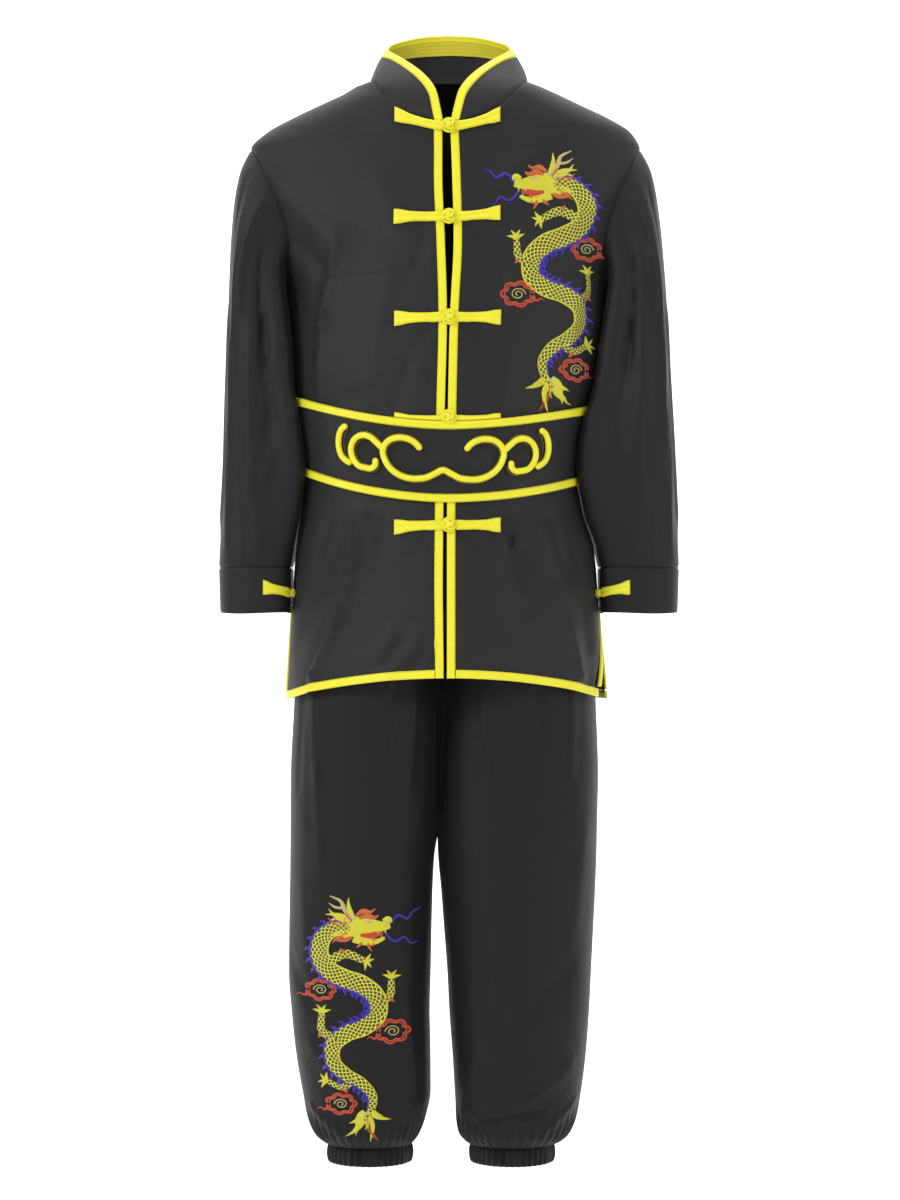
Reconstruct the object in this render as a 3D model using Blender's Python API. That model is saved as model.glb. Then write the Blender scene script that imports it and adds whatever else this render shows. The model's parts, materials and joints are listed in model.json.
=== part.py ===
"""A child's tai chi uniform, worn by nobody: a jacket with frogs, its belt, and trousers.

Metres, +Z up, +X to the wearer's left, the front facing -Y. The origin is between the two points
where the shoulder seams meet the collar. Each cloth surface is a function of two parameters. A
piece is a patch of one of them, made into a wall along the surface's own normals, and whatever
lies on a panel is a patch of the same surface, moved out.
"""

import math

import bmesh
import bpy
import numpy as np

# Cloth and sewing
WALL = 0.0018
SEAM = 0.0003
BINDING_WIDTH = 0.0082
BINDING_PROUD = 0.0005
LAID_ON = 0.0004
ARMHOLE_LEAN = 0.12
FACING_SPAN = (0.45, 0.79)
TAB_THICK = 0.0024
FACING_WALL = 0.001

# Jacket
NECK_HALF_WIDTH = 0.079
NECK_FRONT_END = 0.0095
NECK_DROP = 0.048
NAPE_RISE = 0.010
NECK_DROP_POWER = 1.8
NAPE_POWER = 1.5
SHOULDER_Z = -0.066
UNDERARM_Z = -0.200
ARMHOLE_BITE = math.radians(33)
SKIRT_TOP_Z = -0.430
HEM_SIDE_Z = -0.615
HEM_RISE = 0.0235
VENT_TOP_Z = -0.5225
VENT_OPEN_LEFT = math.radians(24)
VENT_OPEN_RIGHT = math.radians(4)
RING_FULLNESS = 0.12

# Sleeves
SLEEVE_END_Z = -0.4835
CUFF_END_Z = -0.529
CUFF_FROG_Z = -0.506

# Belt
BELT_LEFT_Z = -0.362
BELT_RIGHT_Z = -0.352
BELT_BACK_Z = -0.350
BELT_FRONT_Z = -0.382
BELT_DIP = 1.8
BELT_HALF_WIDTH = 0.0395
BELT_WALL = 0.0022
BELT_BINDING_THICK = 0.0034
BELT_STAND_OFF = 0.0014
SCROLL_RADIUS = 0.0029
SCROLL_CENTRE_X = -0.0055
SCROLL_SPREAD = 0.90

# Frogs
FROG_HEIGHTS = (-0.0535, -0.1436, -0.2418, -0.3416, -0.4433)
FROG_REACH_RIGHT = 0.053
FROG_REACH_LEFT = 0.050
FROG_NECK_LIFT = 0.012
FROG_RAISE = 0.0009
NECK_FROG_RAISE = 0.0014
CUFF_KNOT_TURN = math.radians(143.7)
CUFF_KNOT_DROP = 0.07
CUFF_KNOT_SCALE = 0.72
CUFF_HALF_DEPTH = 0.052
CUFF_TAB_START = math.radians(104)
CUFF_TAB_SWEEP = math.radians(34)
CUFF_TAB_SLANT = 0.12
KNOT_RADIUS = 0.0066
KNOT_HEIGHT = 0.0075

# Trousers
WAIST_TOP_Z = -0.345
WAIST_BOTTOM_Z = -0.3955
WAISTBAND_WALL = 0.0025
CROTCH_Z = -0.600
CROTCH_CURVE = 0.080
LEG_END_Z = -1.0575
ANKLE_TOP_Z = -1.0578
ANKLE_END_Z = -1.0765
ANKLE_RADIUS = 0.0425
ANKLE_CENTRES = {"right": -0.079, "left": 0.0628}
ANKLE_GATHERS = 40
GATHER_DEPTH = 0.0014
LEG_WIDTH = 0.12
ANKLE_WALL = 0.0022

COLOURS = {
    "jacket_cloth": ((0.038, 0.038, 0.039), 0.62),
    "sleeve_cloth": ((0.026, 0.026, 0.027), 0.62),
    "trouser_cloth": ((0.022, 0.022, 0.023), 0.65),
    "binding": ((0.93, 0.87, 0.045), 0.5),
    "facing": ((0.66, 0.60, 0.03), 0.6),
}


class Table:
    """Rows of named columns, read between rows by a smooth curve that never overshoots."""

    def __init__(self, columns, *rows):
        data = np.array(sorted(rows))
        self.knots = data[:, 0]
        self.columns = dict(zip(columns.split()[1:], data[:, 1:].T))

    def at(self, name, where):
        knots, values = self.knots, self.columns[name]
        steps = np.diff(knots)
        rises = np.diff(values) / steps
        slopes = np.concatenate([rises[:1], np.zeros(len(values) - 2), rises[-1:]])
        before, after = rises[:-1], rises[1:]
        turning = before * after <= 0
        slopes[1:-1] = np.where(turning, 0, 2 * before * after / np.where(turning, 1, before + after))
        where = np.clip(where, knots[0], knots[-1])
        k = np.clip(np.searchsorted(knots, where) - 1, 0, len(steps) - 1)
        t = (where - knots[k]) / steps[k]
        ends = values[k] * (1 - t) ** 2 * (1 + 2 * t) + values[k + 1] * t**2 * (3 - 2 * t)
        bends = slopes[k] * t * (1 - t) ** 2 - slopes[k + 1] * t**2 * (1 - t)
        return ends + steps[k] * bends


# The jacket's level rings: reach to the wearer's left and right, and depth to front and back
BODY = Table(
    "z left right front back",
    (0.014, 0.060, 0.060, 0.052, 0.046),
    (0.000, 0.079, 0.079, 0.062, 0.058),
    (-0.006, 0.094, 0.095, 0.067, 0.064),
    (-0.014, 0.112, 0.108, 0.070, 0.070),
    (-0.022, 0.129, 0.126, 0.072, 0.074),
    (-0.038, 0.163, 0.160, 0.075, 0.080),
    (-0.050, 0.182, 0.182, 0.077, 0.083),
    (-0.066, 0.191, 0.198, 0.080, 0.086),
    (-0.090, 0.193, 0.200, 0.084, 0.089),
    (-0.110, 0.190, 0.197, 0.087, 0.091),
    (-0.140, 0.180, 0.186, 0.092, 0.094),
    (-0.170, 0.168, 0.174, 0.096, 0.096),
    (-0.200, 0.159, 0.163, 0.099, 0.097),
    (-0.250, 0.155, 0.160, 0.101, 0.096),
    (-0.300, 0.147, 0.157, 0.100, 0.094),
    (-0.350, 0.132, 0.148, 0.098, 0.092),
    (-0.386, 0.127, 0.144, 0.097, 0.091),
    (-0.430, 0.134, 0.148, 0.098, 0.093),
    (-0.466, 0.145, 0.153, 0.103, 0.100),
    (-0.540, 0.151, 0.158, 0.111, 0.110),
    (-0.600, 0.157, 0.162, 0.117, 0.118),
    (-0.620, 0.158, 0.163, 0.119, 0.120),
)

# Where the two front edges stand, across the wearer's centre line
FRONT_EDGE = Table(
    "z left right",
    (-0.048, 0.001, -0.0065),
    (-0.100, 0.003, -0.0065),
    (-0.165, 0.0045, -0.0040),
    (-0.240, 0.001, -0.0020),
    (-0.330, -0.001, -0.0040),
    (-0.440, -0.002, -0.0055),
    (-0.500, -0.002, -0.0060),
    (-0.590, -0.002, -0.0050),
)

# The collar's upper edge, by the angle from the shoulder (0) to the front (90) and the nape (-90)
COLLAR_EDGE = Table(
    "angle x y z",
    (90, 0.0038, -0.0765, -0.0478),
    (80, 0.0050, -0.0750, -0.0410),
    (70, 0.0072, -0.0710, -0.0310),
    (60, 0.0105, -0.0650, -0.0175),
    (50, 0.0165, -0.0570, -0.0062),
    (40, 0.0270, -0.0450, 0.0060),
    (30, 0.0370, -0.0330, 0.0150),
    (20, 0.0480, -0.0215, 0.0235),
    (10, 0.0570, -0.0100, 0.0300),
    (0, 0.0615, 0.0020, 0.0345),
    (-20, 0.0590, 0.0200, 0.0420),
    (-45, 0.0450, 0.0380, 0.0500),
    (-70, 0.0200, 0.0480, 0.0560),
    (-90, 0.0000, 0.0500, 0.0570),
)

# A sleeve's sections from the armhole (0) to the cuff seam (1)
SLEEVE = Table(
    "along inner_z outer_z left right depth clear",
    (0.00, -0.200, -0.066, 0.191, 0.198, 0.052, 0.0024),
    (0.06, -0.206, -0.090, 0.2025, 0.2090, 0.056, 0.0024),
    (0.14, -0.216, -0.125, 0.2095, 0.2155, 0.059, 0.0024),
    (0.24, -0.235, -0.170, 0.2145, 0.2190, 0.061, 0.0024),
    (0.36, -0.270, -0.225, 0.2185, 0.2210, 0.061, 0.0032),
    (0.50, -0.325, -0.300, 0.2220, 0.2235, 0.059, 0.0066),
    (0.66, -0.385, -0.378, 0.2262, 0.2255, 0.055, 0.0066),
    (0.82, -0.435, -0.433, 0.2282, 0.2278, 0.050, 0.0050),
    (1.00, SLEEVE_END_Z, SLEEVE_END_Z, 0.2298, 0.2298, 0.045, 0.0036),
)

# The trousers' level rings: each leg's outer and inner side, and depth to front and back
LEGS = Table(
    "z right_out right_in left_in left_out front back",
    (-0.396, -0.1398, -0.0040, -0.0040, 0.1230, 0.0920, 0.0862),
    (-0.450, -0.1450, -0.0040, -0.0040, 0.1340, 0.0920, 0.0880),
    (-0.520, -0.1500, -0.0040, -0.0040, 0.1415, 0.0960, 0.0940),
    (-0.580, -0.1525, -0.0050, -0.0050, 0.1450, 0.0930, 0.0930),
    (-0.626, -0.1550, -0.0072, -0.0062, 0.1470, 0.0900, 0.0900),
    (-0.690, -0.1580, -0.0090, -0.0080, 0.1490, 0.0890, 0.0890),
    (-0.740, -0.1583, -0.0110, -0.0100, 0.1480, 0.0880, 0.0880),
    (-0.766, -0.1585, -0.0140, -0.0112, 0.1475, 0.0860, 0.0860),
    (-0.806, -0.1590, -0.0162, -0.0080, 0.1460, 0.0830, 0.0830),
    (-0.846, -0.1597, -0.0172, -0.0050, 0.1440, 0.0800, 0.0810),
    (-0.886, -0.1600, -0.0180, -0.0020, 0.1420, 0.0780, 0.0790),
    (-0.926, -0.1572, -0.0190, 0.0000, 0.1400, 0.0760, 0.0770),
    (-0.966, -0.1530, -0.0182, 0.0030, 0.1370, 0.0740, 0.0750),
    (-1.006, -0.1462, -0.0180, 0.0054, 0.1320, 0.0710, 0.0720),
    (-1.030, -0.1412, -0.0230, 0.0066, 0.1272, 0.0670, 0.0680),
    (-1.046, -0.1345, -0.0290, 0.0095, 0.1205, 0.0600, 0.0610),
    (-1.054, -0.1265, -0.0340, 0.0155, 0.1125, 0.0510, 0.0520),
    (-1.0575, -0.1205, -0.0375, 0.0210, 0.1045, 0.0425, 0.0425),
)

# Soft folds, each along a line from (x0, z0) to (x1, z1)
FRONT_FOLDS = (
    ("x0", "z0", "x1", "z1", "width", "height"),
    (-0.108, -0.170, -0.128, -0.300, 0.016, 0.0040),
    (-0.150, -0.215, -0.130, -0.320, 0.012, -0.0035),
    (0.128, -0.205, 0.112, -0.330, 0.014, 0.0030),
    (-0.083, -0.445, -0.128, -0.600, 0.017, 0.0050),
    (-0.105, -0.440, -0.150, -0.560, 0.013, -0.0030),
    (0.064, -0.440, 0.078, -0.520, 0.012, -0.0040),
    (0.095, -0.450, 0.118, -0.590, 0.016, 0.0040),
    (0.040, -0.470, 0.032, -0.560, 0.014, 0.0022),
    (-0.060, -0.585, -0.030, -0.555, 0.009, 0.0022),
)
BACK_FOLDS = (
    ("x0", "z0", "x1", "z1", "width", "height"),
    (-0.100, -0.160, -0.080, -0.320, 0.018, 0.0040),
    (0.095, -0.150, 0.075, -0.320, 0.018, 0.0040),
    (-0.030, -0.120, 0.020, -0.300, 0.018, -0.0025),
    (-0.070, -0.430, -0.095, -0.600, 0.018, 0.0050),
    (0.060, -0.430, 0.090, -0.600, 0.018, 0.0050),
    (0.000, -0.440, 0.005, -0.590, 0.016, -0.0035),
)
# On a sleeve, (turn, along): turn 0 is outside, 90 the front, -90 the back
SLEEVE_FOLDS = (
    ("turn0", "along0", "turn1", "along1", "width", "height"),
    (60, 0.10, 50, 0.62, 13, 0.0040),
    (100, 0.08, 110, 0.55, 12, -0.0040),
    (20, 0.20, 15, 0.75, 13, -0.0022),
    (80, 0.55, 95, 0.98, 13, 0.0028),
    (-60, 0.10, -55, 0.65, 14, 0.0036),
    (-105, 0.10, -100, 0.60, 13, -0.0036),
)
# On a leg, (across, z): across 0 is the outseam and 1 the inseam, on the front
LEG_FOLDS = (
    ("across0", "z0", "across1", "z1", "width", "height"),
    (0.30, -0.600, 0.34, -0.760, 0.055, 0.0042),
    (0.70, -0.600, 0.62, -0.800, 0.060, 0.0036),
    (0.48, -0.610, 0.46, -0.720, 0.050, -0.0030),
    (0.25, -0.860, 0.45, -0.935, 0.060, -0.0030),
    (0.30, -1.000, 0.65, -1.035, 0.050, -0.0040),
    (0.55, -0.960, 0.75, -1.020, 0.060, 0.0036),
)

# A tab from its flared end (0) to the knot (1): half width
TAB = Table("along half", (0.0, 0.0074), (0.12, 0.0070), (0.35, 0.0052), (0.7, 0.0046), (1.0, 0.0050))



def smoothstep(t):
    t = np.clip(t, 0, 1)
    return t * t * (3 - 2 * t)


def fold_height(folds, u, v, u_scale=1.0):
    """Each fold is a ridge of Gaussian section along a line, and a negative height is a trough."""
    total = np.zeros(np.broadcast(u, v).shape)
    for u0, v0, u1, v1, width, height in folds[1:]:
        du, dv = (u1 - u0) * u_scale, v1 - v0
        along = np.clip(((u - u0) * u_scale * du + (v - v0) * dv) / (du * du + dv * dv), 0, 1)
        off = np.hypot((u - u0) * u_scale - along * du, v - v0 - along * dv)
        total = total + height * np.exp(-((off / width) ** 2))
    return total


def belt_middle(theta):
    """The belt's middle dips at the front: side height, then lower by a power of the cosine."""
    side = np.where(np.cos(theta) > 0, BELT_LEFT_Z, BELT_RIGHT_Z)
    middle = np.where(np.sin(theta) > 0, BELT_FRONT_Z, BELT_BACK_Z)
    return middle + (side - middle) * np.abs(np.cos(theta)) ** BELT_DIP


def hem_at(theta):
    return HEM_SIDE_Z + HEM_RISE * np.where(np.sin(theta) > 0, np.sin(theta) ** 2, 0)


def body(theta, z):
    """The jacket's outside: a rounded level ring at each height, with folds moved out from it."""
    theta, z = np.broadcast_arrays(theta, z)
    c, s = np.cos(theta), np.sin(theta)
    x = c * (1 + RING_FULLNESS * s * s) * np.where(c > 0, BODY.at("left", z), BODY.at("right", z))
    y = -s * (1 + RING_FULLNESS * c * c) * np.where(s > 0, BODY.at("front", z), BODY.at("back", z))
    fade = smoothstep((np.abs(s) - 0.15) / 0.35) * smoothstep((-z - 0.09) / 0.06)
    fade = fade * smoothstep((np.abs(z - belt_middle(theta)) - BELT_HALF_WIDTH - 0.004) / 0.03)
    lift = np.where(s > 0, fold_height(FRONT_FOLDS, x, z), fold_height(BACK_FOLDS, x, z)) * fade
    return np.stack([x + lift * c, y - lift * s, z], -1)


RING_ANGLES = np.linspace(0, math.pi, 721)
RING_SHARES = np.cos(RING_ANGLES) * (1 + RING_FULLNESS * np.sin(RING_ANGLES) ** 2)


def angle_at(x, z):
    """The angle on the front half at which the ring at z reaches x."""
    x, z = np.broadcast_arrays(np.asarray(x, float), np.asarray(z, float))
    share = x / np.where(x > 0, BODY.at("left", z), BODY.at("right", z))
    return np.interp(-share, -RING_SHARES, RING_ANGLES)


def panel_angle(side, reach, z):
    """The angle, from a panel's own side, at which it is this far out from the centre line."""
    return angle_at(reach, z) if side == "left" else math.pi - angle_at(-reach, z)


def armhole_angle(z, margin=0.0):
    """How far the armhole bites into the ring at z: half an ellipse of angle against height."""
    middle = (SHOULDER_Z + UNDERARM_Z) / 2
    half = (SHOULDER_Z - UNDERARM_Z) / 2 + margin
    return (ARMHOLE_BITE + margin * 8) * np.sqrt(np.clip(1 - ((z - middle) / half) ** 2, 0, None))


def sleeve(sign):
    """A sleeve's outside, by turn (radians, 0 outside, pi/2 front) and place along it.

    Each section is a rounded ring across a slanted line from the body's side to the outer edge,
    and the first ones lean over to meet the armhole exactly.
    """
    side = "left" if sign > 0 else "right"

    def section(turn, along):
        inner_z, outer_z = SLEEVE.at("inner_z", along), SLEEVE.at("outer_z", along)
        inner_x = BODY.at(side, inner_z) + SLEEVE.at("clear", along)
        outer_x = SLEEVE.at(side, along)
        c, s = np.cos(turn), np.sin(turn)
        across = c * (1 + RING_FULLNESS * s * s)
        fade = smoothstep(along / 0.15) * smoothstep((1 - along) / 0.08) * smoothstep((c + 0.75) / 0.5)
        degrees = np.degrees(np.arctan2(s, c))
        lift = fold_height(SLEEVE_FOLDS, degrees, along * 100, 1.0) * fade
        x = (outer_x + inner_x) / 2 + (outer_x - inner_x) / 2 * across + lift * c
        z = (outer_z + inner_z) / 2 + (outer_z - inner_z) / 2 * across
        y = -SLEEVE.at("depth", along) * s * (1 + RING_FULLNESS * c * c) - lift * s
        return np.stack([sign * x, y, z], -1)

    def outside(turn, along):
        turn, along = np.broadcast_arrays(turn, along)
        z = (SHOULDER_Z + UNDERARM_Z) / 2 + (SHOULDER_Z - UNDERARM_Z) / 2 * np.cos(turn)
        theta = ARMHOLE_BITE * np.sin(turn)
        edge = body(theta if sign > 0 else math.pi - theta, z)
        lean = np.clip(1 - along / 0.3, 0, 1)[..., None] ** 2
        return section(turn, along) + (edge - section(turn, np.zeros_like(along))) * lean

    return outside


SLEEVE_FOLDS = SLEEVE_FOLDS[:1] + tuple(
    (turn0, along0 * 100, turn1, along1 * 100, width, height)
    for turn0, along0, turn1, along1, width, height in SLEEVE_FOLDS[1:]
)


def cuff(sign):
    """A cuff's outside: the sleeve's last ring carried down and drawn in a little."""
    end = sleeve(sign)

    def outside(turn, along):
        turn, along = np.broadcast_arrays(turn, along)
        ring = end(turn, np.ones_like(along))
        middle = end(np.array([0.0, math.pi]), np.ones(2)).mean(0)
        draw_in = (1 - 0.035 * along)[..., None]
        ring = middle + (ring - middle) * draw_in
        ring[..., 2] = SLEEVE_END_Z + (CUFF_END_Z - SLEEVE_END_Z) * along
        return ring

    return outside


def neck_base(alpha):
    """The neckline on the body, by angle: it drops towards the front and rises to the nape."""
    c, s = np.cos(alpha), np.sin(alpha)
    front = s > 0
    reach = NECK_HALF_WIDTH * c
    x = np.where(front, NECK_FRONT_END * s**2 + reach * (1 - 0.12 * s**2), reach)
    drop = -NECK_DROP * np.abs(s) ** NECK_DROP_POWER
    rise = NAPE_RISE * np.abs(s) ** NAPE_POWER
    z = np.where(front, drop, rise)
    theta = angle_at(x, z)
    return x, z, np.where(front, theta, -theta)


def neck_alpha_front(z):
    return np.arcsin(np.clip((-z / NECK_DROP) ** (1 / NECK_DROP_POWER), 0, 1))


def neck_alpha_back(z):
    return -np.arcsin(np.clip((z / NAPE_RISE) ** (1 / NAPE_POWER), 0, 1))


def collar(alpha, t):
    """The standing collar: straight lines from the neckline to its upper edge, bellied a little.

    alpha runs from the left front (pi/2) through the left shoulder (0) and the nape (-pi/2) on to
    the right front (-3 pi/2).
    """
    alpha, t = np.broadcast_arrays(alpha, t)
    right = alpha < -math.pi / 2
    folded = np.where(right, -math.pi - alpha, alpha)
    sign = np.where(right, -1.0, 1.0)
    x, z, theta = neck_base(folded)
    base = body(theta, z)
    base[..., 0] = x
    degrees = np.degrees(folded)
    edge = np.stack([COLLAR_EDGE.at(axis, degrees) for axis in "xyz"], -1)
    t = t[..., None]
    out = np.stack([np.cos(folded), -np.sin(folded), 0 * folded], -1)
    points = base + (edge - base) * t + out * 0.012 * t * (1 - t) * np.cos(folded / 2)[..., None] ** 2
    points[..., 0] *= sign
    points[..., 0] -= 0.002 * np.clip(-z / NECK_DROP, 0, 1)
    return points


def trousers(side, half):
    """A trouser panel's outside, by place across (0 outseam, 1 inseam) and height.

    Below the crotch a panel is half of a rounded leg ring. Above it the panel turns into a quarter
    of the hip ring, and its inner edge follows the crotch curve on the centre plane.
    """
    sign = -1.0 if half == "front" else 1.0

    def outside(across, z):
        across, z = np.broadcast_arrays(across, z)
        hip = smoothstep((z - CROTCH_Z) / CROTCH_CURVE)
        parts = []
        for angle in (math.pi * across, math.pi * across / 2):
            c, s = np.cos(angle), np.sin(angle)
            parts.append((c * (1 + RING_FULLNESS * s * s), s * (1 + RING_FULLNESS * c * c)))
        (leg_x, leg_y), (hip_x, hip_y) = parts
        share = (1 - hip) * (1 + leg_x) / 2 + hip * hip_x
        reach = (1 - hip) * leg_y + hip * hip_y
        outer, inner = LEGS.at(side + "_out", z), LEGS.at(side + "_in", z)
        fade = smoothstep((z + 1.05) / 0.02) * smoothstep((-z - 0.60) / 0.02)
        fade = fade * smoothstep(across / 0.15) * smoothstep((1 - across) / 0.15)
        lift = fold_height(LEG_FOLDS, across, z, 0.22) * fade
        x = inner + (outer - inner) * share
        y = sign * (LEGS.at(half, z) * reach + lift)
        return np.stack([x, y, z], -1)

    return outside


def normals(surface, u, v, step=1e-3, side=1.0):
    """Unit normals from small steps each way along both parameters."""
    du = surface(u + step, v) - surface(u - step, v)
    dv = surface(u, v + step) - surface(u, v - step)
    found = np.cross(du, dv) * side
    return found / np.maximum(np.linalg.norm(found, axis=-1, keepdims=True), 1e-12)


def material(name):
    found = bpy.data.materials.get(name)
    if found is None:
        colour, roughness = COLOURS[name]
        found = bpy.data.materials.new(name)
        found.use_nodes = True
        shader = found.node_tree.nodes["Principled BSDF"]
        shader.inputs["Base Color"].default_value = (*colour, 1)
        shader.inputs["Roughness"].default_value = roughness
        shader.inputs["Metallic"].default_value = 0
        found.diffuse_color = (*colour, 1)
    return found


def add_object(name, mesh, cloth, collection):
    mesh.materials.append(material(cloth))
    made = bpy.data.objects.new(name, mesh)
    collection.objects.link(made)
    return made


def lofted_wall(name, outer, inner, cloth, collection, ring=False):
    """A closed wall between two grids of points, row by row, with its edges turned over."""
    rows, columns = outer.shape[:2]
    count = rows * columns
    points = np.concatenate([outer.reshape(-1, 3), inner.reshape(-1, 3)])
    steps = columns if ring else columns - 1
    faces = []
    for i in range(rows - 1):
        for j in range(steps):
            a, b = i * columns + j, i * columns + (j + 1) % columns
            c, d = b + columns, a + columns
            faces.append((a, b, c, d))
            faces.append((d + count, c + count, b + count, a + count))
    for j in range(steps):
        a, b = j, (j + 1) % columns
        faces.append((b, a, a + count, b + count))
        a, b = a + count - columns, b + count - columns
        faces.append((a, b, b + count, a + count))
    if not ring:
        for i in range(rows - 1):
            a, d = i * columns, (i + 1) * columns
            faces.append((a, d, d + count, a + count))
            b, c = a + columns - 1, d + columns - 1
            faces.append((c, b, b + count, c + count))
    mesh = bpy.data.meshes.new(name)
    mesh.from_pydata(points.tolist(), [], faces)
    shell = bmesh.new()
    shell.from_mesh(mesh)
    bmesh.ops.recalc_face_normals(shell, faces=shell.faces)
    shell.to_mesh(mesh)
    shell.free()
    mesh.shade_smooth()
    return add_object(name, mesh, cloth, collection)


def patch(name, surface, u, v, cloth, collection, outside=0.0, inside=-WALL, side=-1.0, ring=False):
    """A wall on a patch of a surface, from the distance inside to the distance outside of it."""
    at = surface(u, v)
    out = normals(surface, u, v, side=side)
    outer = at + out * np.broadcast_to(outside, u.shape)[..., None]
    inner = at + out * np.broadcast_to(inside, u.shape)[..., None]
    return lofted_wall(name, outer, inner, cloth, collection, ring)


def between(first, last, shares):
    """A grid whose rows run from the values in first to those in last."""
    first, last = np.broadcast_arrays(first, last)
    return first[:, None] + (last - first)[:, None] * shares[None, :]


NECK_ROWS = np.array([-0.0025, -0.010, -0.020, -0.031, -0.040, -0.046])
ARM_ROWS = (SHOULDER_Z + UNDERARM_Z) / 2 + (SHOULDER_Z - UNDERARM_Z) / 2 * np.cos(
    np.linspace(0, math.pi, 8)
)
CHEST_ROWS = np.linspace(-0.226, SKIRT_TOP_Z, 7)
NAPE_ROWS = np.array([0.0097, 0.0085, 0.0060, 0.0035, 0.0015])
SKIRT_SHARES = np.array([1 / 6, 2 / 6, 3 / 6, 0.503, 4 / 6, 5 / 6, 1.0])


def side_margin(z):
    """Half a seam gap at the side, as an angle on the ring."""
    return SEAM / 2 / BODY.at("front", z)


def vent_angle(z, opening):
    """How far a front panel's side edge has swung from the side seam, below the vent's top."""
    return opening * np.clip((VENT_TOP_Z - z) / (VENT_TOP_Z - HEM_SIDE_Z), 0, 1) ** 1.3


def front_sides(side, z):
    """The front panel's outer and inner angle at each height, measured from its own side."""
    outer = np.where((z < SHOULDER_Z) & (z > UNDERARM_Z), armhole_angle(z, SEAM), 0) + side_margin(z)
    opening = VENT_OPEN_LEFT if side == "left" else VENT_OPEN_RIGHT
    outer = outer + vent_angle(z, opening)
    neck_x, _, _ = neck_base(neck_alpha_front(np.minimum(z, -1e-6)))
    edge = FRONT_EDGE.at(side, z)
    sign = 1 if side == "left" else -1
    edge_x = edge + sign * (BINDING_WIDTH + SEAM)
    neck_x = sign * neck_x - 0.002 * np.clip(-z / NECK_DROP, 0, 1)
    x = np.where(z > -NECK_DROP, neck_x, edge_x)
    angle = angle_at(x, z)
    inner = angle if side == "left" else math.pi - angle
    return outer, inner - np.where(z > -NECK_DROP, SEAM * 8, 0)


def make_front(side, collection):
    """A jacket front with its edge, hem and vent bindings."""
    turn = (lambda a: a) if side == "left" else (lambda a: math.pi - a)
    shares = np.linspace(0, 1, 8)
    flat = np.concatenate([NECK_ROWS, [-0.0485, -0.056], ARM_ROWS[:-1], [UNDERARM_Z], CHEST_ROWS])
    outer, inner = front_sides(side, flat)
    theta = between(outer, inner, shares)
    z = np.broadcast_to(flat[:, None], theta.shape)
    skirt_theta, skirt_z = skirt_grid(side, shares, SKIRT_SHARES)
    u, v = np.concatenate([theta, skirt_theta]), np.concatenate([z, skirt_z])
    patch(f"jacket_front_{side}", body, turn(u), v, "jacket_cloth", collection)
    make_front_binding(side, turn, collection)
    make_front_hem(side, turn, collection)


def skirt_grid(side, shares, downs):
    """The skirt part of a front: rows fall from its level top to the slanting hem."""
    opening = VENT_OPEN_LEFT if side == "left" else VENT_OPEN_RIGHT
    rows_u, rows_v = [], []
    for down in downs:
        level = SKIRT_TOP_Z + (HEM_SIDE_Z - SKIRT_TOP_Z) * down
        trim = SEAM / 2 / BODY.at("front", level)
        if level < VENT_TOP_Z - SEAM:
            trim = trim + (BINDING_WIDTH + SEAM) / BODY.at("front", level)
        outer = trim + vent_angle(level, opening)
        middle = SKIRT_TOP_Z + (hem_at(math.pi / 2) + BINDING_WIDTH + SEAM - SKIRT_TOP_Z) * down
        edge = FRONT_EDGE.at(side, middle) * (1 if side == "left" else -1)
        across = panel_angle(side, edge + BINDING_WIDTH + SEAM, middle)
        row = outer + (across - outer) * shares
        end = hem_at(row) + BINDING_WIDTH + SEAM
        rows_u.append(row)
        rows_v.append(SKIRT_TOP_Z + (end - SKIRT_TOP_Z) * down)
    return np.array(rows_u), np.array(rows_v)


def make_front_binding(side, turn, collection):
    """The binding of a front edge, from the collar to the hem."""
    z = np.concatenate([[-0.0488, -0.060], np.linspace(-0.080, -0.574, 16)])
    edge = FRONT_EDGE.at(side, z) * (1 if side == "left" else -1)
    z = np.append(z, hem_at(math.pi / 2))
    edge = np.append(edge, edge[-1])
    across = np.array([BINDING_WIDTH, BINDING_WIDTH / 2, 0.0])
    u = panel_angle(side, edge[:, None] + across[None, :], z[:, None])
    v = np.broadcast_to(z[:, None], u.shape)
    proud = BINDING_PROUD * np.array([0.5, 1.6, 0.5])
    patch(
        f"front_binding_{side}", body, turn(u), v, "binding", collection,
        outside=proud, inside=-WALL - BINDING_PROUD,
    )


def make_front_hem(side, turn, collection):
    """The bindings of a front's hem and of its side of the vent."""
    opening = VENT_OPEN_LEFT if side == "left" else VENT_OPEN_RIGHT
    level = HEM_SIDE_Z
    outer = SEAM / BODY.at("front", level) + vent_angle(level, opening)
    edge = FRONT_EDGE.at(side, level) * (1 if side == "left" else -1)
    inner = panel_angle(side, edge + BINDING_WIDTH + 2 * SEAM, hem_at(math.pi / 2))
    theta = outer + (inner - outer) * np.linspace(0, 1, 12)
    rise = np.array([BINDING_WIDTH, BINDING_WIDTH / 2, 0.0])
    u = np.broadcast_to(theta[None, :], (3, 12))
    v = hem_at(u) + rise[:, None]
    proud = (BINDING_PROUD * np.array([0.5, 1.6, 0.5]))[:, None]
    patch(
        f"hem_binding_{side}", body, turn(u), v, "binding", collection,
        outside=proud, inside=-WALL - BINDING_PROUD,
    )
    foot = hem_at(outer + BINDING_WIDTH / BODY.at("front", level)) + BINDING_WIDTH + SEAM
    z = np.linspace(VENT_TOP_Z - 4 * SEAM, foot, 6)
    start = SEAM / BODY.at("front", z) + vent_angle(z, opening)
    width = BINDING_WIDTH / BODY.at("front", z)
    u = start[:, None] + width[:, None] * np.array([0.0, 0.5, 1.0])
    patch(
        f"vent_binding_front_{side}", body, turn(u), np.broadcast_to(z[:, None], u.shape), "binding",
        collection, outside=proud.T, inside=-WALL - BINDING_PROUD,
    )


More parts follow.
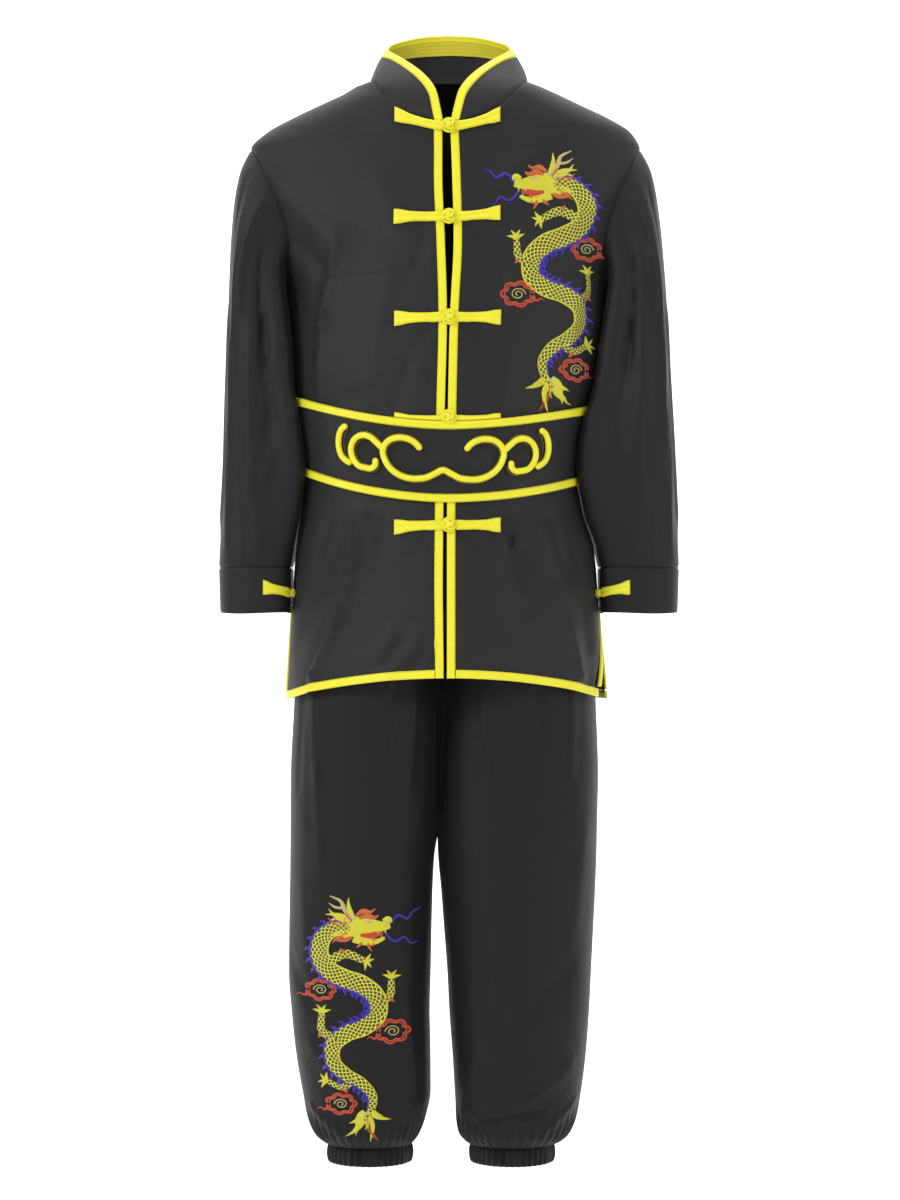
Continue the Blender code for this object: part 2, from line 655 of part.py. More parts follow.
def back_sides(z):
    outer = np.where((z < SHOULDER_Z) & (z > UNDERARM_Z), armhole_angle(z, SEAM), 0) + side_margin(z)
    neck_x, _, _ = neck_base(neck_alpha_back(np.maximum(z, 1e-6)))
    neck = angle_at(neck_x, z) + SEAM * 8
    return np.where(z > 0, neck, outer)


def make_back(collection):
    shares = np.linspace(0, 1, 13)
    flat = np.concatenate([NAPE_ROWS, NECK_ROWS, [-0.056], ARM_ROWS[:-1], [UNDERARM_Z], CHEST_ROWS])
    start = back_sides(flat)
    theta = between(start, math.pi - start, shares)
    z = np.broadcast_to(flat[:, None], theta.shape)
    rows_u, rows_v = [], []
    for down in SKIRT_SHARES:
        level = SKIRT_TOP_Z + (HEM_SIDE_Z - SKIRT_TOP_Z) * down
        trim = side_margin(level)
        if level < VENT_TOP_Z - SEAM:
            trim = trim + (BINDING_WIDTH + SEAM) / BODY.at("back", level)
        rows_u.append(trim + (math.pi - 2 * trim) * shares)
        end = HEM_SIDE_Z + BINDING_WIDTH + SEAM
        rows_v.append(np.full(len(shares), SKIRT_TOP_Z + (end - SKIRT_TOP_Z) * down))
    u = np.concatenate([theta, rows_u])
    v = np.concatenate([z, rows_v])
    patch("jacket_back", body, -u, v, "jacket_cloth", collection)
    trim = SEAM / BODY.at("back", HEM_SIDE_Z)
    u = np.broadcast_to((trim + (math.pi - 2 * trim) * np.linspace(0, 1, 22))[None, :], (3, 22))
    rise = np.array([BINDING_WIDTH, BINDING_WIDTH / 2, 0.0])[:, None]
    proud = BINDING_PROUD * np.array([0.5, 1.6, 0.5])
    patch(
        "hem_binding_back", body, -u, HEM_SIDE_Z + rise + 0 * u, "binding", collection,
        outside=proud[:, None], inside=-WALL - BINDING_PROUD,
    )
    z = np.linspace(VENT_TOP_Z - 4 * SEAM, HEM_SIDE_Z + BINDING_WIDTH + 4 * SEAM, 6)
    depth = BODY.at("back", z)[:, None]
    for side, turn in (("left", lambda a: -a), ("right", lambda a: math.pi + a)):
        u = (SEAM + BINDING_WIDTH * np.array([[0.0, 0.5, 1.0]])) / depth
        patch(
            f"vent_binding_back_{side}", body, turn(u), np.broadcast_to(z[:, None], u.shape), "binding",
            collection, outside=proud, inside=-WALL - BINDING_PROUD,
        )


def make_sleeves(collection):
    columns = np.linspace(0, 2 * math.pi, 17)[:-1]
    rows = np.concatenate([[0.0, 0.03, 0.07, 0.12], np.linspace(0.19, 1.0, 11)])
    for side, sign in (("left", 1.0), ("right", -1.0)):
        outside = sleeve(sign)
        u, v = np.meshgrid(columns, rows)
        at = outside(u, v)
        own = normals(outside, u, np.clip(v, 0.002, 0.998), side=sign)
        z = (SHOULDER_Z + UNDERARM_Z) / 2 + (SHOULDER_Z - UNDERARM_Z) / 2 * np.cos(columns)
        theta = ARMHOLE_BITE * np.sin(columns)
        theta = theta if sign > 0 else math.pi - theta
        seam = normals(body, theta, z, side=-1.0)[None, :, :]
        lean = np.clip(1 - v / ARMHOLE_LEAN, 0, 1)[..., None]
        out = seam * lean + own * (1 - lean)
        out = out / np.linalg.norm(out, axis=-1, keepdims=True)
        lofted_wall(f"sleeve_{side}", at, at - out * WALL, "sleeve_cloth", collection, ring=True)
        wrist = cuff(sign)
        u, v = np.meshgrid(columns, np.array([0.008, 0.35, 0.7, 1.0]))
        patch(f"cuff_{side}", wrist, u, v, "sleeve_cloth", collection, side=sign, ring=True)
        make_cuff_frog(side, sign, wrist, collection)


def make_cuff_frog(side, sign, wrist, collection):
    """The small frog on a cuff: a tab and its knot."""
    along = (CUFF_FROG_Z - SLEEVE_END_Z) / (CUFF_END_Z - SLEEVE_END_Z)
    shares = np.linspace(0, 1, 6)
    turn = CUFF_TAB_START + shares * CUFF_TAB_SWEEP
    half = TAB.at("half", shares) / (SLEEVE_END_Z - CUFF_END_Z)
    u = np.broadcast_to(turn[None, :], (3, 6))
    v = along + half[None, :] * np.array([[-1.0], [0.0], [1.0]]) + CUFF_TAB_SLANT * (shares - 0.5)[None, :]
    crown = np.array([[0.6], [1.0], [0.6]]) * TAB_THICK
    patch(
        f"cuff_frog_tab_{side}", wrist, u, v, "binding", collection,
        outside=LAID_ON + crown, inside=LAID_ON, side=sign,
    )
    make_knot(
        f"cuff_frog_knot_{side}", wrist, CUFF_KNOT_TURN, along + CUFF_KNOT_DROP, CUFF_HALF_DEPTH,
        CUFF_END_Z - SLEEVE_END_Z, sign, collection, scale=CUFF_KNOT_SCALE,
    )


def make_knot(
    name, surface, u0, v0, u_length, v_length, side, collection, scale=1.0, floor=None, base=FROG_RAISE
):
    """A ball knot: a dome over a round patch, from its rim up to its crown."""
    turns = np.linspace(0, 2 * math.pi, 9)[:-1]
    rings = np.array([0.96, 0.99, 0.86, 0.6, 0.08])
    heights = np.array([0.0, 0.35, 0.72, 0.93, 1.0])
    radius = KNOT_RADIUS * scale
    u = u0 + radius * rings[:, None] * np.cos(turns)[None, :] / u_length
    v = v0 + radius * rings[:, None] * np.sin(turns)[None, :] / v_length
    if floor is not None:
        v = np.maximum(v, floor(u))
    at = surface(u, v)
    out = normals(surface, np.full(1, u0), np.full(1, v0), side=side)[0]
    at = at + out * (LAID_ON + base + KNOT_HEIGHT * scale * heights)[:, None, None]
    count = len(turns)
    faces = []
    for i in range(len(rings) - 1):
        for j in range(count):
            a, b = i * count + j, i * count + (j + 1) % count
            faces.append((a, b, b + count, a + count))
    faces.append(tuple(range(count)))
    faces.append(tuple(range((len(rings) - 1) * count, len(rings) * count)))
    mesh = bpy.data.meshes.new(name)
    mesh.from_pydata(at.reshape(-1, 3).tolist(), [], faces)
    ball = bmesh.new()
    ball.from_mesh(mesh)
    bmesh.ops.recalc_face_normals(ball, faces=ball.faces)
    ball.to_mesh(mesh)
    ball.free()
    mesh.shade_smooth()
    return add_object(name, mesh, "binding", collection)


def collar_height(alpha):
    """The stand's height at each angle."""
    rise = collar(alpha, np.ones(len(alpha))) - collar(alpha, np.zeros(len(alpha)))
    return np.linalg.norm(rise, axis=1)


def make_collar(collection):
    """The stand in black, its bound upper edge, and the yellow facing inside its back."""
    front = neck_alpha_front(NECK_ROWS)[::-1]
    back = neck_alpha_back(NAPE_ROWS[::-1])
    half = np.concatenate([front, [0.0], back])
    alpha = np.concatenate([half, [-math.pi / 2], (-math.pi - half)[::-1]])
    height = collar_height(alpha)
    low = 0.0010 / height
    high = 1 - (BINDING_WIDTH + 2 * SEAM) / height
    u = np.broadcast_to(alpha[None, :], (4, len(alpha)))
    v = between(low, high, np.linspace(0, 1, 4)).T
    patch("collar", collar, u, v, "jacket_cloth", collection)
    tip = np.radians([90, 82])
    alpha = np.concatenate([tip, alpha, (-math.pi - tip)[::-1]])
    height = collar_height(alpha)
    u = np.broadcast_to(alpha[None, :], (3, len(alpha)))
    v = 1 - BINDING_WIDTH * np.array([[1.0], [0.5], [0.0]]) / height[None, :]
    proud = (BINDING_PROUD * np.array([0.5, 1.6, 0.5]))[:, None]
    patch(
        "collar_binding", collar, u, v, "binding", collection,
        outside=proud, inside=-WALL - BINDING_PROUD,
    )
    alpha = np.concatenate([back, [-math.pi / 2], (-math.pi - back)[::-1]])
    u = np.broadcast_to(alpha[None, :], (4, len(alpha)))
    v = np.broadcast_to(np.linspace(*FACING_SPAN, 4)[:, None], u.shape)
    patch(
        "collar_facing", collar, u, v, "facing", collection,
        outside=-WALL - SEAM, inside=-WALL - SEAM - FACING_WALL,
    )


def make_frogs(collection):
    """Five rows down the front: a loop tab on the right, a button tab and its knot on the left."""
    for number, height in enumerate(FROG_HEIGHTS, 1):
        lift = FROG_NECK_LIFT if number == 1 else 0.0
        raise_by = NECK_FROG_RAISE if number == 1 else FROG_RAISE
        for side, reach in (("right", FROG_REACH_RIGHT), ("left", FROG_REACH_LEFT)):
            sign = 1.0 if side == "left" else -1.0
            shares = np.linspace(0, 1, 7)
            x = sign * (reach + (KNOT_RADIUS + 2 * SEAM - reach) * shares)
            z = height + lift * (1 - shares) ** 1.4
            half = TAB.at("half", shares)
            across = np.array([[1.0], [0.0], [-1.0]])
            v = z[None, :] + across * half[None, :]
            u = angle_at(np.broadcast_to(x[None, :], v.shape), v)
            if number == 4:
                v = np.maximum(v, (belt_middle(u) + BELT_HALF_WIDTH + SEAM) + 0.0006 * (across + 1))
            crown = np.array([[0.6], [1.0], [0.6]]) * TAB_THICK
            name = f"frog_{number}_{'loop' if side == 'right' else 'tab'}"
            patch(
                name, body, u, v, "binding", collection,
                outside=LAID_ON + raise_by + crown, inside=LAID_ON + raise_by,
            )
        floor = None
        if number == 4:
            floor = lambda u: belt_middle(u) + BELT_HALF_WIDTH + SEAM
        centre = angle_at(0.0, height)
        length = -(1 + RING_FULLNESS) * BODY.at("left", height)
        make_knot(
            f"frog_{number}_knot", body, centre, height + (0.003 if number == 4 else 0), length, 1.0,
            -1.0, collection, floor=floor, base=raise_by,
        )


def make_belt(collection):
    """The belt's band, which meets at the middle of the back, and its two bindings."""
    gap = SEAM / 0.09
    theta = np.linspace(-math.pi / 2 + gap, 1.5 * math.pi - gap, 39)
    edges = BELT_HALF_WIDTH - BINDING_WIDTH - 0.0008
    across = np.array([0.0, 0.5, 1.0])
    crown = BELT_BINDING_THICK * np.array([0.6, 1.0, 0.6])
    strips = (
        ("belt_band", np.array([edges, 0.0, -edges]), np.full(3, BELT_WALL), "jacket_cloth"),
        ("belt_binding_top", BELT_HALF_WIDTH - BINDING_WIDTH * across, crown, "binding"),
        ("belt_binding_bottom", -BELT_HALF_WIDTH + BINDING_WIDTH * across[::-1], crown, "binding"),
    )
    for name, offsets, thick, cloth in strips:
        u = np.broadcast_to(theta[None, :], (3, len(theta)))
        v = belt_middle(u) + offsets[:, None]
        patch(
            name, body, u, v, cloth, collection,
            outside=BELT_STAND_OFF + thick[:, None], inside=BELT_STAND_OFF,
        )


def scroll_paths():
    """The cloud scroll as lists of (x, rise) on the belt: arcs and easing lines, right side mirrored."""
    def arc(cx, cz, rx, rz, start, end, count):
        angle = np.radians(np.linspace(start, end, count))
        return np.stack([cx + rx * np.cos(angle), cz + rz * np.sin(angle)], 1)

    curl = np.concatenate([
        arc(0.0430, 0.0045, 0.0205, 0.0160, 150, -20, 14),
        arc(0.0330, 0.0030, 0.0295, 0.0215, -28, -100, 8),
        [[0.0180, -0.0165], [0.0085, -0.0120]],
    ])
    half = curl[::-1]
    middle = np.concatenate([curl * [-1, 1], [[0.0, -0.0085]], half])
    second = np.concatenate([
        arc(0.0815, 0.0010, 0.0150, 0.0165, 128, -60, 14),
        arc(0.0790, -0.0070, 0.0080, 0.0075, -75, -190, 5),
    ])
    hook = arc(0.1010, 0.0060, 0.0085, 0.0165, 75, -75, 9)
    return {
        "scroll_middle": middle,
        "scroll_curl_left": second,
        "scroll_curl_right": second * [-1, 1],
        "scroll_hook_left": hook,
        "scroll_hook_right": hook * [-1, 1],
    }


def make_scroll(collection):
    """The cloud scroll, as cords raised above the belt."""
    for name, path in scroll_paths().items():
        x = path[:, 0] * SCROLL_SPREAD + SCROLL_CENTRE_X
        theta = angle_at(x, np.full(len(x), BELT_FRONT_Z))
        z = belt_middle(theta) + path[:, 1]
        theta = angle_at(x, z)
        off = BELT_STAND_OFF + BELT_WALL + 2 * SEAM + SCROLL_RADIUS
        points = body(theta, z) + normals(body, theta, z, side=-1.0) * off
        curve = bpy.data.curves.new(name, "CURVE")
        curve.dimensions = "3D"
        curve.bevel_depth = SCROLL_RADIUS
        curve.bevel_resolution = 1
        curve.use_fill_caps = True
        spline = curve.splines.new("POLY")
        spline.points.add(len(points) - 1)
        for place, point in zip(spline.points, points):
            place.co = (*point, 1)
        curve.materials.append(material("binding"))
        collection.objects.link(bpy.data.objects.new(name, curve))


def make_trousers(collection):
    """Four panels from the waist to the ankles, the ankle cuffs and the waistband."""
    hips = np.array([WAIST_BOTTOM_Z - 3 * SEAM, -0.438, -0.478, -0.514, -0.544, -0.567, -0.585])
    legs = np.linspace(-0.604, -1.006, 10)
    puff = np.array([-1.022, -1.036, -1.047, -1.0535, LEG_END_Z])
    z = np.concatenate([hips, legs, puff])
    for side, sign in (("left", 1.0), ("right", -1.0)):
        for half, facing in (("front", 1.0), ("back", -1.0)):
            surface = trousers(side, half)
            trim = SEAM / 2 / LEG_WIDTH
            u, v = np.meshgrid(np.linspace(trim, 1 - trim, 8), z)
            at = surface(u, v)
            out = normals(surface, u, v, side=-sign * facing)
            inner = at - out * WALL
            for points in (at, inner):
                middle = (LEGS.at("left_in", v) + LEGS.at("right_in", v)) / 2
                limit = np.where(v > CROTCH_Z - 0.002, middle, 0)
                held = limit + sign * SEAM / 2
                near = np.where(sign * points[..., 0] < sign * held, held, points[..., 0])
                points[..., 0] = np.where(v > CROTCH_Z - 0.002, near, points[..., 0])
            lofted_wall(f"trouser_{half}_{side}", at, inner, "trouser_cloth", collection)
        make_ankle(side, collection)
    theta = np.linspace(0, 2 * math.pi, 25)[:-1]
    u, v = np.meshgrid(theta, np.linspace(WAIST_TOP_Z, WAIST_BOTTOM_Z, 3))
    outer = -WALL - BINDING_PROUD - 2 * SEAM
    patch(
        "waistband", body, u, v, "trouser_cloth", collection,
        outside=outer, inside=outer - WAISTBAND_WALL, ring=True,
    )


def make_ankle(side, collection):
    """An elasticated ankle cuff: a round ring whose outside is drawn into gathers."""
    turn = np.linspace(0, 2 * math.pi, 2 * ANKLE_GATHERS + 1)[:-1]
    z = np.array([ANKLE_TOP_Z, (ANKLE_TOP_Z + ANKLE_END_Z) / 2, ANKLE_END_Z])
    swell = np.array([-0.0008, 0.0, -0.0012])[:, None]
    ridge = GATHER_DEPTH / 2 * np.cos(turn * ANKLE_GATHERS)[None, :]
    radius = ANKLE_RADIUS - GATHER_DEPTH / 2 + swell + ridge
    inner_radius = ANKLE_RADIUS - GATHER_DEPTH - ANKLE_WALL + 0 * radius
    walls = []
    for r in (radius, inner_radius):
        x = ANKLE_CENTRES[side] + r * np.cos(turn)
        walls.append(np.stack([x, -r * np.sin(turn), z[:, None] + 0 * r], -1))
    lofted_wall(f"ankle_cuff_{side}", *walls, "trouser_cloth", collection, ring=True)


def main():
    for found in list(bpy.data.objects):
        bpy.data.objects.remove(found, do_unlink=True)
    collection = bpy.data.collections.new("tai_chi_uniform")
    bpy.context.scene.collection.children.link(collection)
    make_back(collection)
    for side in ("left", "right"):
        make_front(side, collection)
    make_sleeves(collection)
    make_collar(collection)
    make_frogs(collection)
    make_belt(collection)
    make_scroll(collection)
    make_trousers(collection)


main()
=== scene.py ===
"""A child's tai chi uniform, worn by nobody: its cloth, binding, frogs, belt and embroidery.

Metres, +Z up, +X to the wearer's left, the front facing -Y. Every cloth surface is a form: a
function of two parameters worked out from the garment's sizes, with its folds moved out along it.
A panel is a patch of a form, made into a thin shell. Binding, tabs, cords and embroidery are
patches and paths of the same forms, raised above them, so they follow every fold.
"""

from __future__ import annotations

import json
import logging
import math
from dataclasses import dataclass, field
from enum import Enum

import bpy
import numpy as np
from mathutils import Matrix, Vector

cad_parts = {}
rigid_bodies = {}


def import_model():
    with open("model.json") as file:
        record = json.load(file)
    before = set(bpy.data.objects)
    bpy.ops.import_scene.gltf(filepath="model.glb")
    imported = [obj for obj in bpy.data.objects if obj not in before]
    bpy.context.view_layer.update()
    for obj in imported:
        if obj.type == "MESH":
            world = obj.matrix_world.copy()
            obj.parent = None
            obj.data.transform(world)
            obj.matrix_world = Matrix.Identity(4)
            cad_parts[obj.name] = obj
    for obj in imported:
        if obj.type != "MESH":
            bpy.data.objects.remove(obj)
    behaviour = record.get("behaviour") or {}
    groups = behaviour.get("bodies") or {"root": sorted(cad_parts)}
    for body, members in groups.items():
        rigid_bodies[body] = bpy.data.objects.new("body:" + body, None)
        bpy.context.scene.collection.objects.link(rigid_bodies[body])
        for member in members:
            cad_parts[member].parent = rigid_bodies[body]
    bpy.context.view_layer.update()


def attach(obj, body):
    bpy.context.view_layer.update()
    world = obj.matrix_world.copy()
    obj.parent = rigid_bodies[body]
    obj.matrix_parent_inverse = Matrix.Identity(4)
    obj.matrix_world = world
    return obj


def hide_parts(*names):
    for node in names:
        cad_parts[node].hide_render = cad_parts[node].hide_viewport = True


for found in list(bpy.data.objects):
    bpy.data.objects.remove(found, do_unlink=True)
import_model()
LOG = logging.getLogger("tai_chi_uniform")
Array = np.ndarray

# Cloth and sewing
CLOTH = 0.0011
JACKET_WALL = 0.0018
SEAM = 0.0003
BINDING_WIDTH = 0.0082
BINDING_PROUD = 0.0005
BINDING_CROWN = BINDING_PROUD * 1.5
BINDING_STEPS = 9
TAB_THICK = 0.0026
LAID_ON = 0.0004
STITCH_LENGTH = 0.0026
STITCH_STEP = 0.0034
STITCH_RADIUS = 0.00022
# How far past its path's end each ring of a cord's rounded tip stands, as a share of the radius
CORD_END_STEPS = (0.98, 0.85, 0.55, 0.2)
SHARP_ANGLE = math.radians(55)
MM_PER_METRE = 1000.0

# Jacket
NECK_HALF_WIDTH = 0.079
NECK_FRONT_END = 0.0095
NECK_DROP = 0.048
NAPE_RISE = 0.010
NECK_DROP_POWER = 1.8
NAPE_POWER = 1.5
NECK_NARROWING = 0.12
NECK_SHIFT = 0.002
COLLAR_BELLY = 0.012
COLLAR_RIPPLE = 0.0006
SHOULDER_Z = -0.066
UNDERARM_Z = -0.200
ARMHOLE_BITE = math.radians(33)
# About what a metre round the shoulders is as an angle of the ring
TURN_PER_METRE = 8
SKIRT_TOP_Z = -0.430
HEM_SIDE_Z = -0.615
HEM_RISE = 0.0235
VENT_TOP_Z = -0.5225
VENT_OPEN = {"left": math.radians(24), "right": math.radians(4)}
RING_FULLNESS = 0.12

# Sleeves
SLEEVE_END_Z = -0.4835
CUFF_END_Z = -0.529
CUFF_FROG_Z = -0.506
CUFF_KNOT_TURN = math.radians(143.7)
CUFF_KNOT_DROP = 0.07
CUFF_KNOT_SCALE = 0.74
CUFF_TAB_START = math.radians(104)
CUFF_TAB_SWEEP = math.radians(34)
CUFF_TAB_SLANT = 0.12

# Belt
BELT_LEFT_Z = -0.362
BELT_RIGHT_Z = -0.352
BELT_BACK_Z = -0.350
BELT_FRONT_Z = -0.382
BELT_DIP = 1.8
BELT_HALF_WIDTH = 0.0395
BELT_WALL = 0.0022
BELT_STAND_OFF = 0.0014
BELT_BINDING_THICK = 0.0034
SCROLL_RADIUS = 0.0030
SCROLL_CENTRE_X = -0.0055
SCROLL_SPREAD = 0.90

# Frogs
FROG_HEIGHTS = (-0.0535, -0.1436, -0.2418, -0.3416, -0.4433)
FROG_REACH = {"right": 0.053, "left": 0.050}
FROG_NECK_LIFT = 0.012
# The frog whose tabs the belt half covers, and how far its knot stands above their middle
BELT_FROG = 4
BELT_KNOT_RISE = 0.003
KNOT_RADIUS = 0.0066
KNOT_HEIGHT = 0.0075
FROG_RAISE = 0.0009
NECK_FROG_RAISE = 0.0014
# A tab whose outer end stands higher than its knot, by frog and side
TAB_TILT = {(2, "left"): 0.0042, (3, "right"): -0.0012, (5, "right"): -0.0022}

# Trousers
WAIST_TOP_Z = -0.345
WAIST_BOTTOM_Z = -0.3955
WAISTBAND_WALL = 0.0025
CROTCH_Z = -0.600
CROTCH_CURVE = 0.080
PRESS_END_Z = -0.775
PRESS_FADE = 0.045
THIGH_PRESS = 0.0022
# What the whole way across a panel is worth in millimetres, for its folds
LEG_PANEL_WIDTH = 220.0
LEG_END_Z = -1.0575
ANKLE_TOP_Z = -1.0568
ANKLE_END_Z = -1.0765
ANKLE_RADIUS = 0.0425
ANKLE_CENTRES = {"right": -0.079, "left": 0.0628}
ANKLE_GATHERS = 40

# The view: level, straight from the front, with 1.2 m of height showing at the garment's middle
CAMERA_PLACE = (0.001, -3.2, -0.516)
VIEW_HEIGHT = 1.2
FLOOR_Z = -1.16


class Side(Enum):
    """A side of the wearer, with the sign of its X."""

    LEFT = 1
    RIGHT = -1

    @property
    def word(self) -> str:
        """The side's name as pieces carry it."""
        return self.name.lower()


class Table:
    """Rows of named columns, read between rows by a smooth curve that never overshoots."""

    def __init__(self, columns: str, *rows: tuple[float, ...]) -> None:
        """Keep the rows in order of their first column.

        Args:
            columns: the columns' names, the first one being the place along the table.
            rows: one tuple of numbers for each row.
        """
        data = np.array(sorted(rows))
        self.knots = data[:, 0]
        self.columns = dict(zip(columns.split()[1:], data[:, 1:].T))

    def at(self, name: str, where: Array | float) -> Array:
        """Read a column at a place, by a cubic between rows whose slopes keep it monotone.

        Args:
            name: the column.
            where: places along the table.

        Returns:
            The column's values there.
        """
        knots, values = self.knots, self.columns[name]
        steps = np.diff(knots)
        rises = np.diff(values) / steps
        slopes = np.concatenate([rises[:1], np.zeros(len(values) - 2), rises[-1:]])
        before, after = rises[:-1], rises[1:]
        turning = before * after <= 0
        slopes[1:-1] = np.where(turning, 0, 2 * before * after / np.where(turning, 1, before + after))
        where = np.clip(where, knots[0], knots[-1])
        k = np.clip(np.searchsorted(knots, where) - 1, 0, len(steps) - 1)
        t = (where - knots[k]) / steps[k]
        ends = values[k] * (1 - t) ** 2 * (1 + 2 * t) + values[k + 1] * t**2 * (3 - 2 * t)
        bends = slopes[k] * t * (1 - t) ** 2 - slopes[k + 1] * t**2 * (1 - t)
        return ends + steps[k] * bends


# The jacket's level rings: reach to the wearer's left and right, and depth to front and back
BODY = Table(
    "z left right front back",
    (0.014, 0.060, 0.060, 0.052, 0.046),
    (0.000, 0.079, 0.079, 0.062, 0.058),
    (-0.006, 0.094, 0.095, 0.067, 0.064),
    (-0.014, 0.112, 0.108, 0.070, 0.070),
    (-0.022, 0.129, 0.126, 0.072, 0.074),
    (-0.038, 0.163, 0.160, 0.075, 0.080),
    (-0.050, 0.182, 0.182, 0.077, 0.083),
    (-0.066, 0.191, 0.198, 0.080, 0.086),
    (-0.090, 0.193, 0.200, 0.084, 0.089),
    (-0.110, 0.190, 0.197, 0.087, 0.091),
    (-0.140, 0.180, 0.186, 0.092, 0.094),
    (-0.170, 0.168, 0.174, 0.096, 0.096),
    (-0.200, 0.159, 0.163, 0.099, 0.097),
    (-0.250, 0.155, 0.160, 0.101, 0.096),
    (-0.300, 0.147, 0.157, 0.100, 0.094),
    (-0.350, 0.132, 0.148, 0.098, 0.092),
    (-0.386, 0.127, 0.144, 0.097, 0.091),
    (-0.430, 0.134, 0.148, 0.098, 0.093),
    (-0.466, 0.145, 0.153, 0.103, 0.100),
    (-0.540, 0.151, 0.158, 0.111, 0.110),
    (-0.600, 0.157, 0.162, 0.117, 0.118),
    (-0.620, 0.158, 0.163, 0.119, 0.120),
)

# Where the two front edges stand, across the wearer's centre line
FRONT_EDGE = Table(
    "z left right",
    (-0.048, 0.001, -0.0065),
    (-0.100, 0.003, -0.0065),
    (-0.165, 0.0045, -0.0040),
    (-0.240, 0.001, -0.0020),
    (-0.330, -0.001, -0.0040),
    (-0.440, -0.002, -0.0055),
    (-0.500, -0.002, -0.0060),
    (-0.590, -0.002, -0.0050),
)

# The collar's upper edge, by the angle from the shoulder (0) to the front (90) and the nape (-90)
COLLAR_EDGE = Table(
    "angle x y z",
    (90, 0.0038, -0.0765, -0.0478),
    (80, 0.0050, -0.0750, -0.0410),
    (70, 0.0072, -0.0710, -0.0310),
    (60, 0.0105, -0.0650, -0.0175),
    (50, 0.0165, -0.0570, -0.0062),
    (40, 0.0270, -0.0450, 0.0060),
    (30, 0.0370, -0.0330, 0.0150),
    (20, 0.0480, -0.0215, 0.0235),
    (10, 0.0570, -0.0100, 0.0300),
    (0, 0.0615, 0.0020, 0.0345),
    (-20, 0.0590, 0.0200, 0.0420),
    (-45, 0.0450, 0.0380, 0.0500),
    (-70, 0.0200, 0.0480, 0.0560),
    (-90, 0.0000, 0.0500, 0.0570),
)

# A sleeve's sections from the armhole (0) to the cuff seam (1)
SLEEVE = Table(
    "along inner_z outer_z left right depth clear",
    (0.00, -0.200, -0.066, 0.191, 0.198, 0.052, 0.0024),
    (0.06, -0.206, -0.090, 0.2025, 0.2090, 0.056, 0.0024),
    (0.14, -0.216, -0.125, 0.2095, 0.2155, 0.059, 0.0024),
    (0.24, -0.235, -0.170, 0.2145, 0.2190, 0.061, 0.0024),
    (0.36, -0.270, -0.225, 0.2185, 0.2210, 0.061, 0.0032),
    (0.50, -0.325, -0.300, 0.2220, 0.2235, 0.059, 0.0066),
    (0.66, -0.385, -0.378, 0.2262, 0.2255, 0.055, 0.0066),
    (0.82, -0.435, -0.433, 0.2282, 0.2278, 0.050, 0.0050),
    (1.00, SLEEVE_END_Z, SLEEVE_END_Z, 0.2298, 0.2298, 0.045, 0.0036),
)

# The trousers' level rings: each leg's outer and inner side, and depth to front and back
LEGS = Table(
    "z right_out right_in left_in left_out front back",
    (-0.396, -0.1398, -0.0040, -0.0040, 0.1230, 0.0920, 0.0862),
    (-0.450, -0.1450, -0.0040, -0.0040, 0.1340, 0.0920, 0.0880),
    (-0.520, -0.1500, -0.0040, -0.0040, 0.1415, 0.0960, 0.0940),
    (-0.580, -0.1525, -0.0050, -0.0050, 0.1450, 0.0930, 0.0930),
    (-0.626, -0.1550, -0.0072, -0.0062, 0.1470, 0.0900, 0.0900),
    (-0.690, -0.1580, -0.0090, -0.0080, 0.1490, 0.0890, 0.0890),
    (-0.740, -0.1583, -0.0110, -0.0100, 0.1480, 0.0880, 0.0880),
    (-0.766, -0.1585, -0.0140, -0.0112, 0.1475, 0.0860, 0.0860),
    (-0.806, -0.1590, -0.0162, -0.0080, 0.1460, 0.0830, 0.0830),
    (-0.846, -0.1597, -0.0172, -0.0050, 0.1440, 0.0800, 0.0810),
    (-0.886, -0.1600, -0.0180, -0.0020, 0.1420, 0.0780, 0.0790),
    (-0.926, -0.1572, -0.0190, 0.0000, 0.1400, 0.0760, 0.0770),
    (-0.966, -0.1530, -0.0182, 0.0030, 0.1370, 0.0740, 0.0750),
    (-1.006, -0.1462, -0.0180, 0.0054, 0.1320, 0.0710, 0.0720),
    (-1.030, -0.1412, -0.0230, 0.0066, 0.1272, 0.0670, 0.0680),
    (-1.046, -0.1345, -0.0290, 0.0095, 0.1205, 0.0600, 0.0610),
    (-1.054, -0.1265, -0.0340, 0.0155, 0.1125, 0.0510, 0.0520),
    (-1.0575, -0.1205, -0.0375, 0.0210, 0.1045, 0.0425, 0.0425),
)

# A tab from its flared end (0) to the knot (1): half its width
TAB = Table("along half", (0.0, 0.0074), (0.12, 0.0070), (0.35, 0.0052), (0.7, 0.0046), (1.0, 0.0050))

# Folds run from (x0, z0) to (x1, z1), in millimetres. The large ones are the solids' own
FRONT_FOLDS = (
    ("x0", "z0", "x1", "z1", "width", "height"),
    (-108, -170, -128, -300, 16, 4),
    (-150, -215, -130, -320, 12, -3.5),
    (128, -205, 112, -330, 14, 3),
    (-83, -445, -128, -600, 17, 5),
    (-105, -440, -150, -560, 13, -3),
    (64, -440, 78, -520, 12, -4),
    (95, -450, 118, -590, 16, 4),
    (40, -470, 32, -560, 14, 2.2),
    (-60, -585, -30, -555, 9, 2.2),
)
BACK_FOLDS = (
    ("x0", "z0", "x1", "z1", "width", "height"),
    (-100, -160, -80, -320, 18, 4),
    (95, -150, 75, -320, 18, 4),
    (-30, -120, 20, -300, 18, -2.5),
    (-70, -430, -95, -600, 18, 5),
    (60, -430, 90, -600, 18, 5),
    (0, -440, 5, -590, 16, -3.5),
)
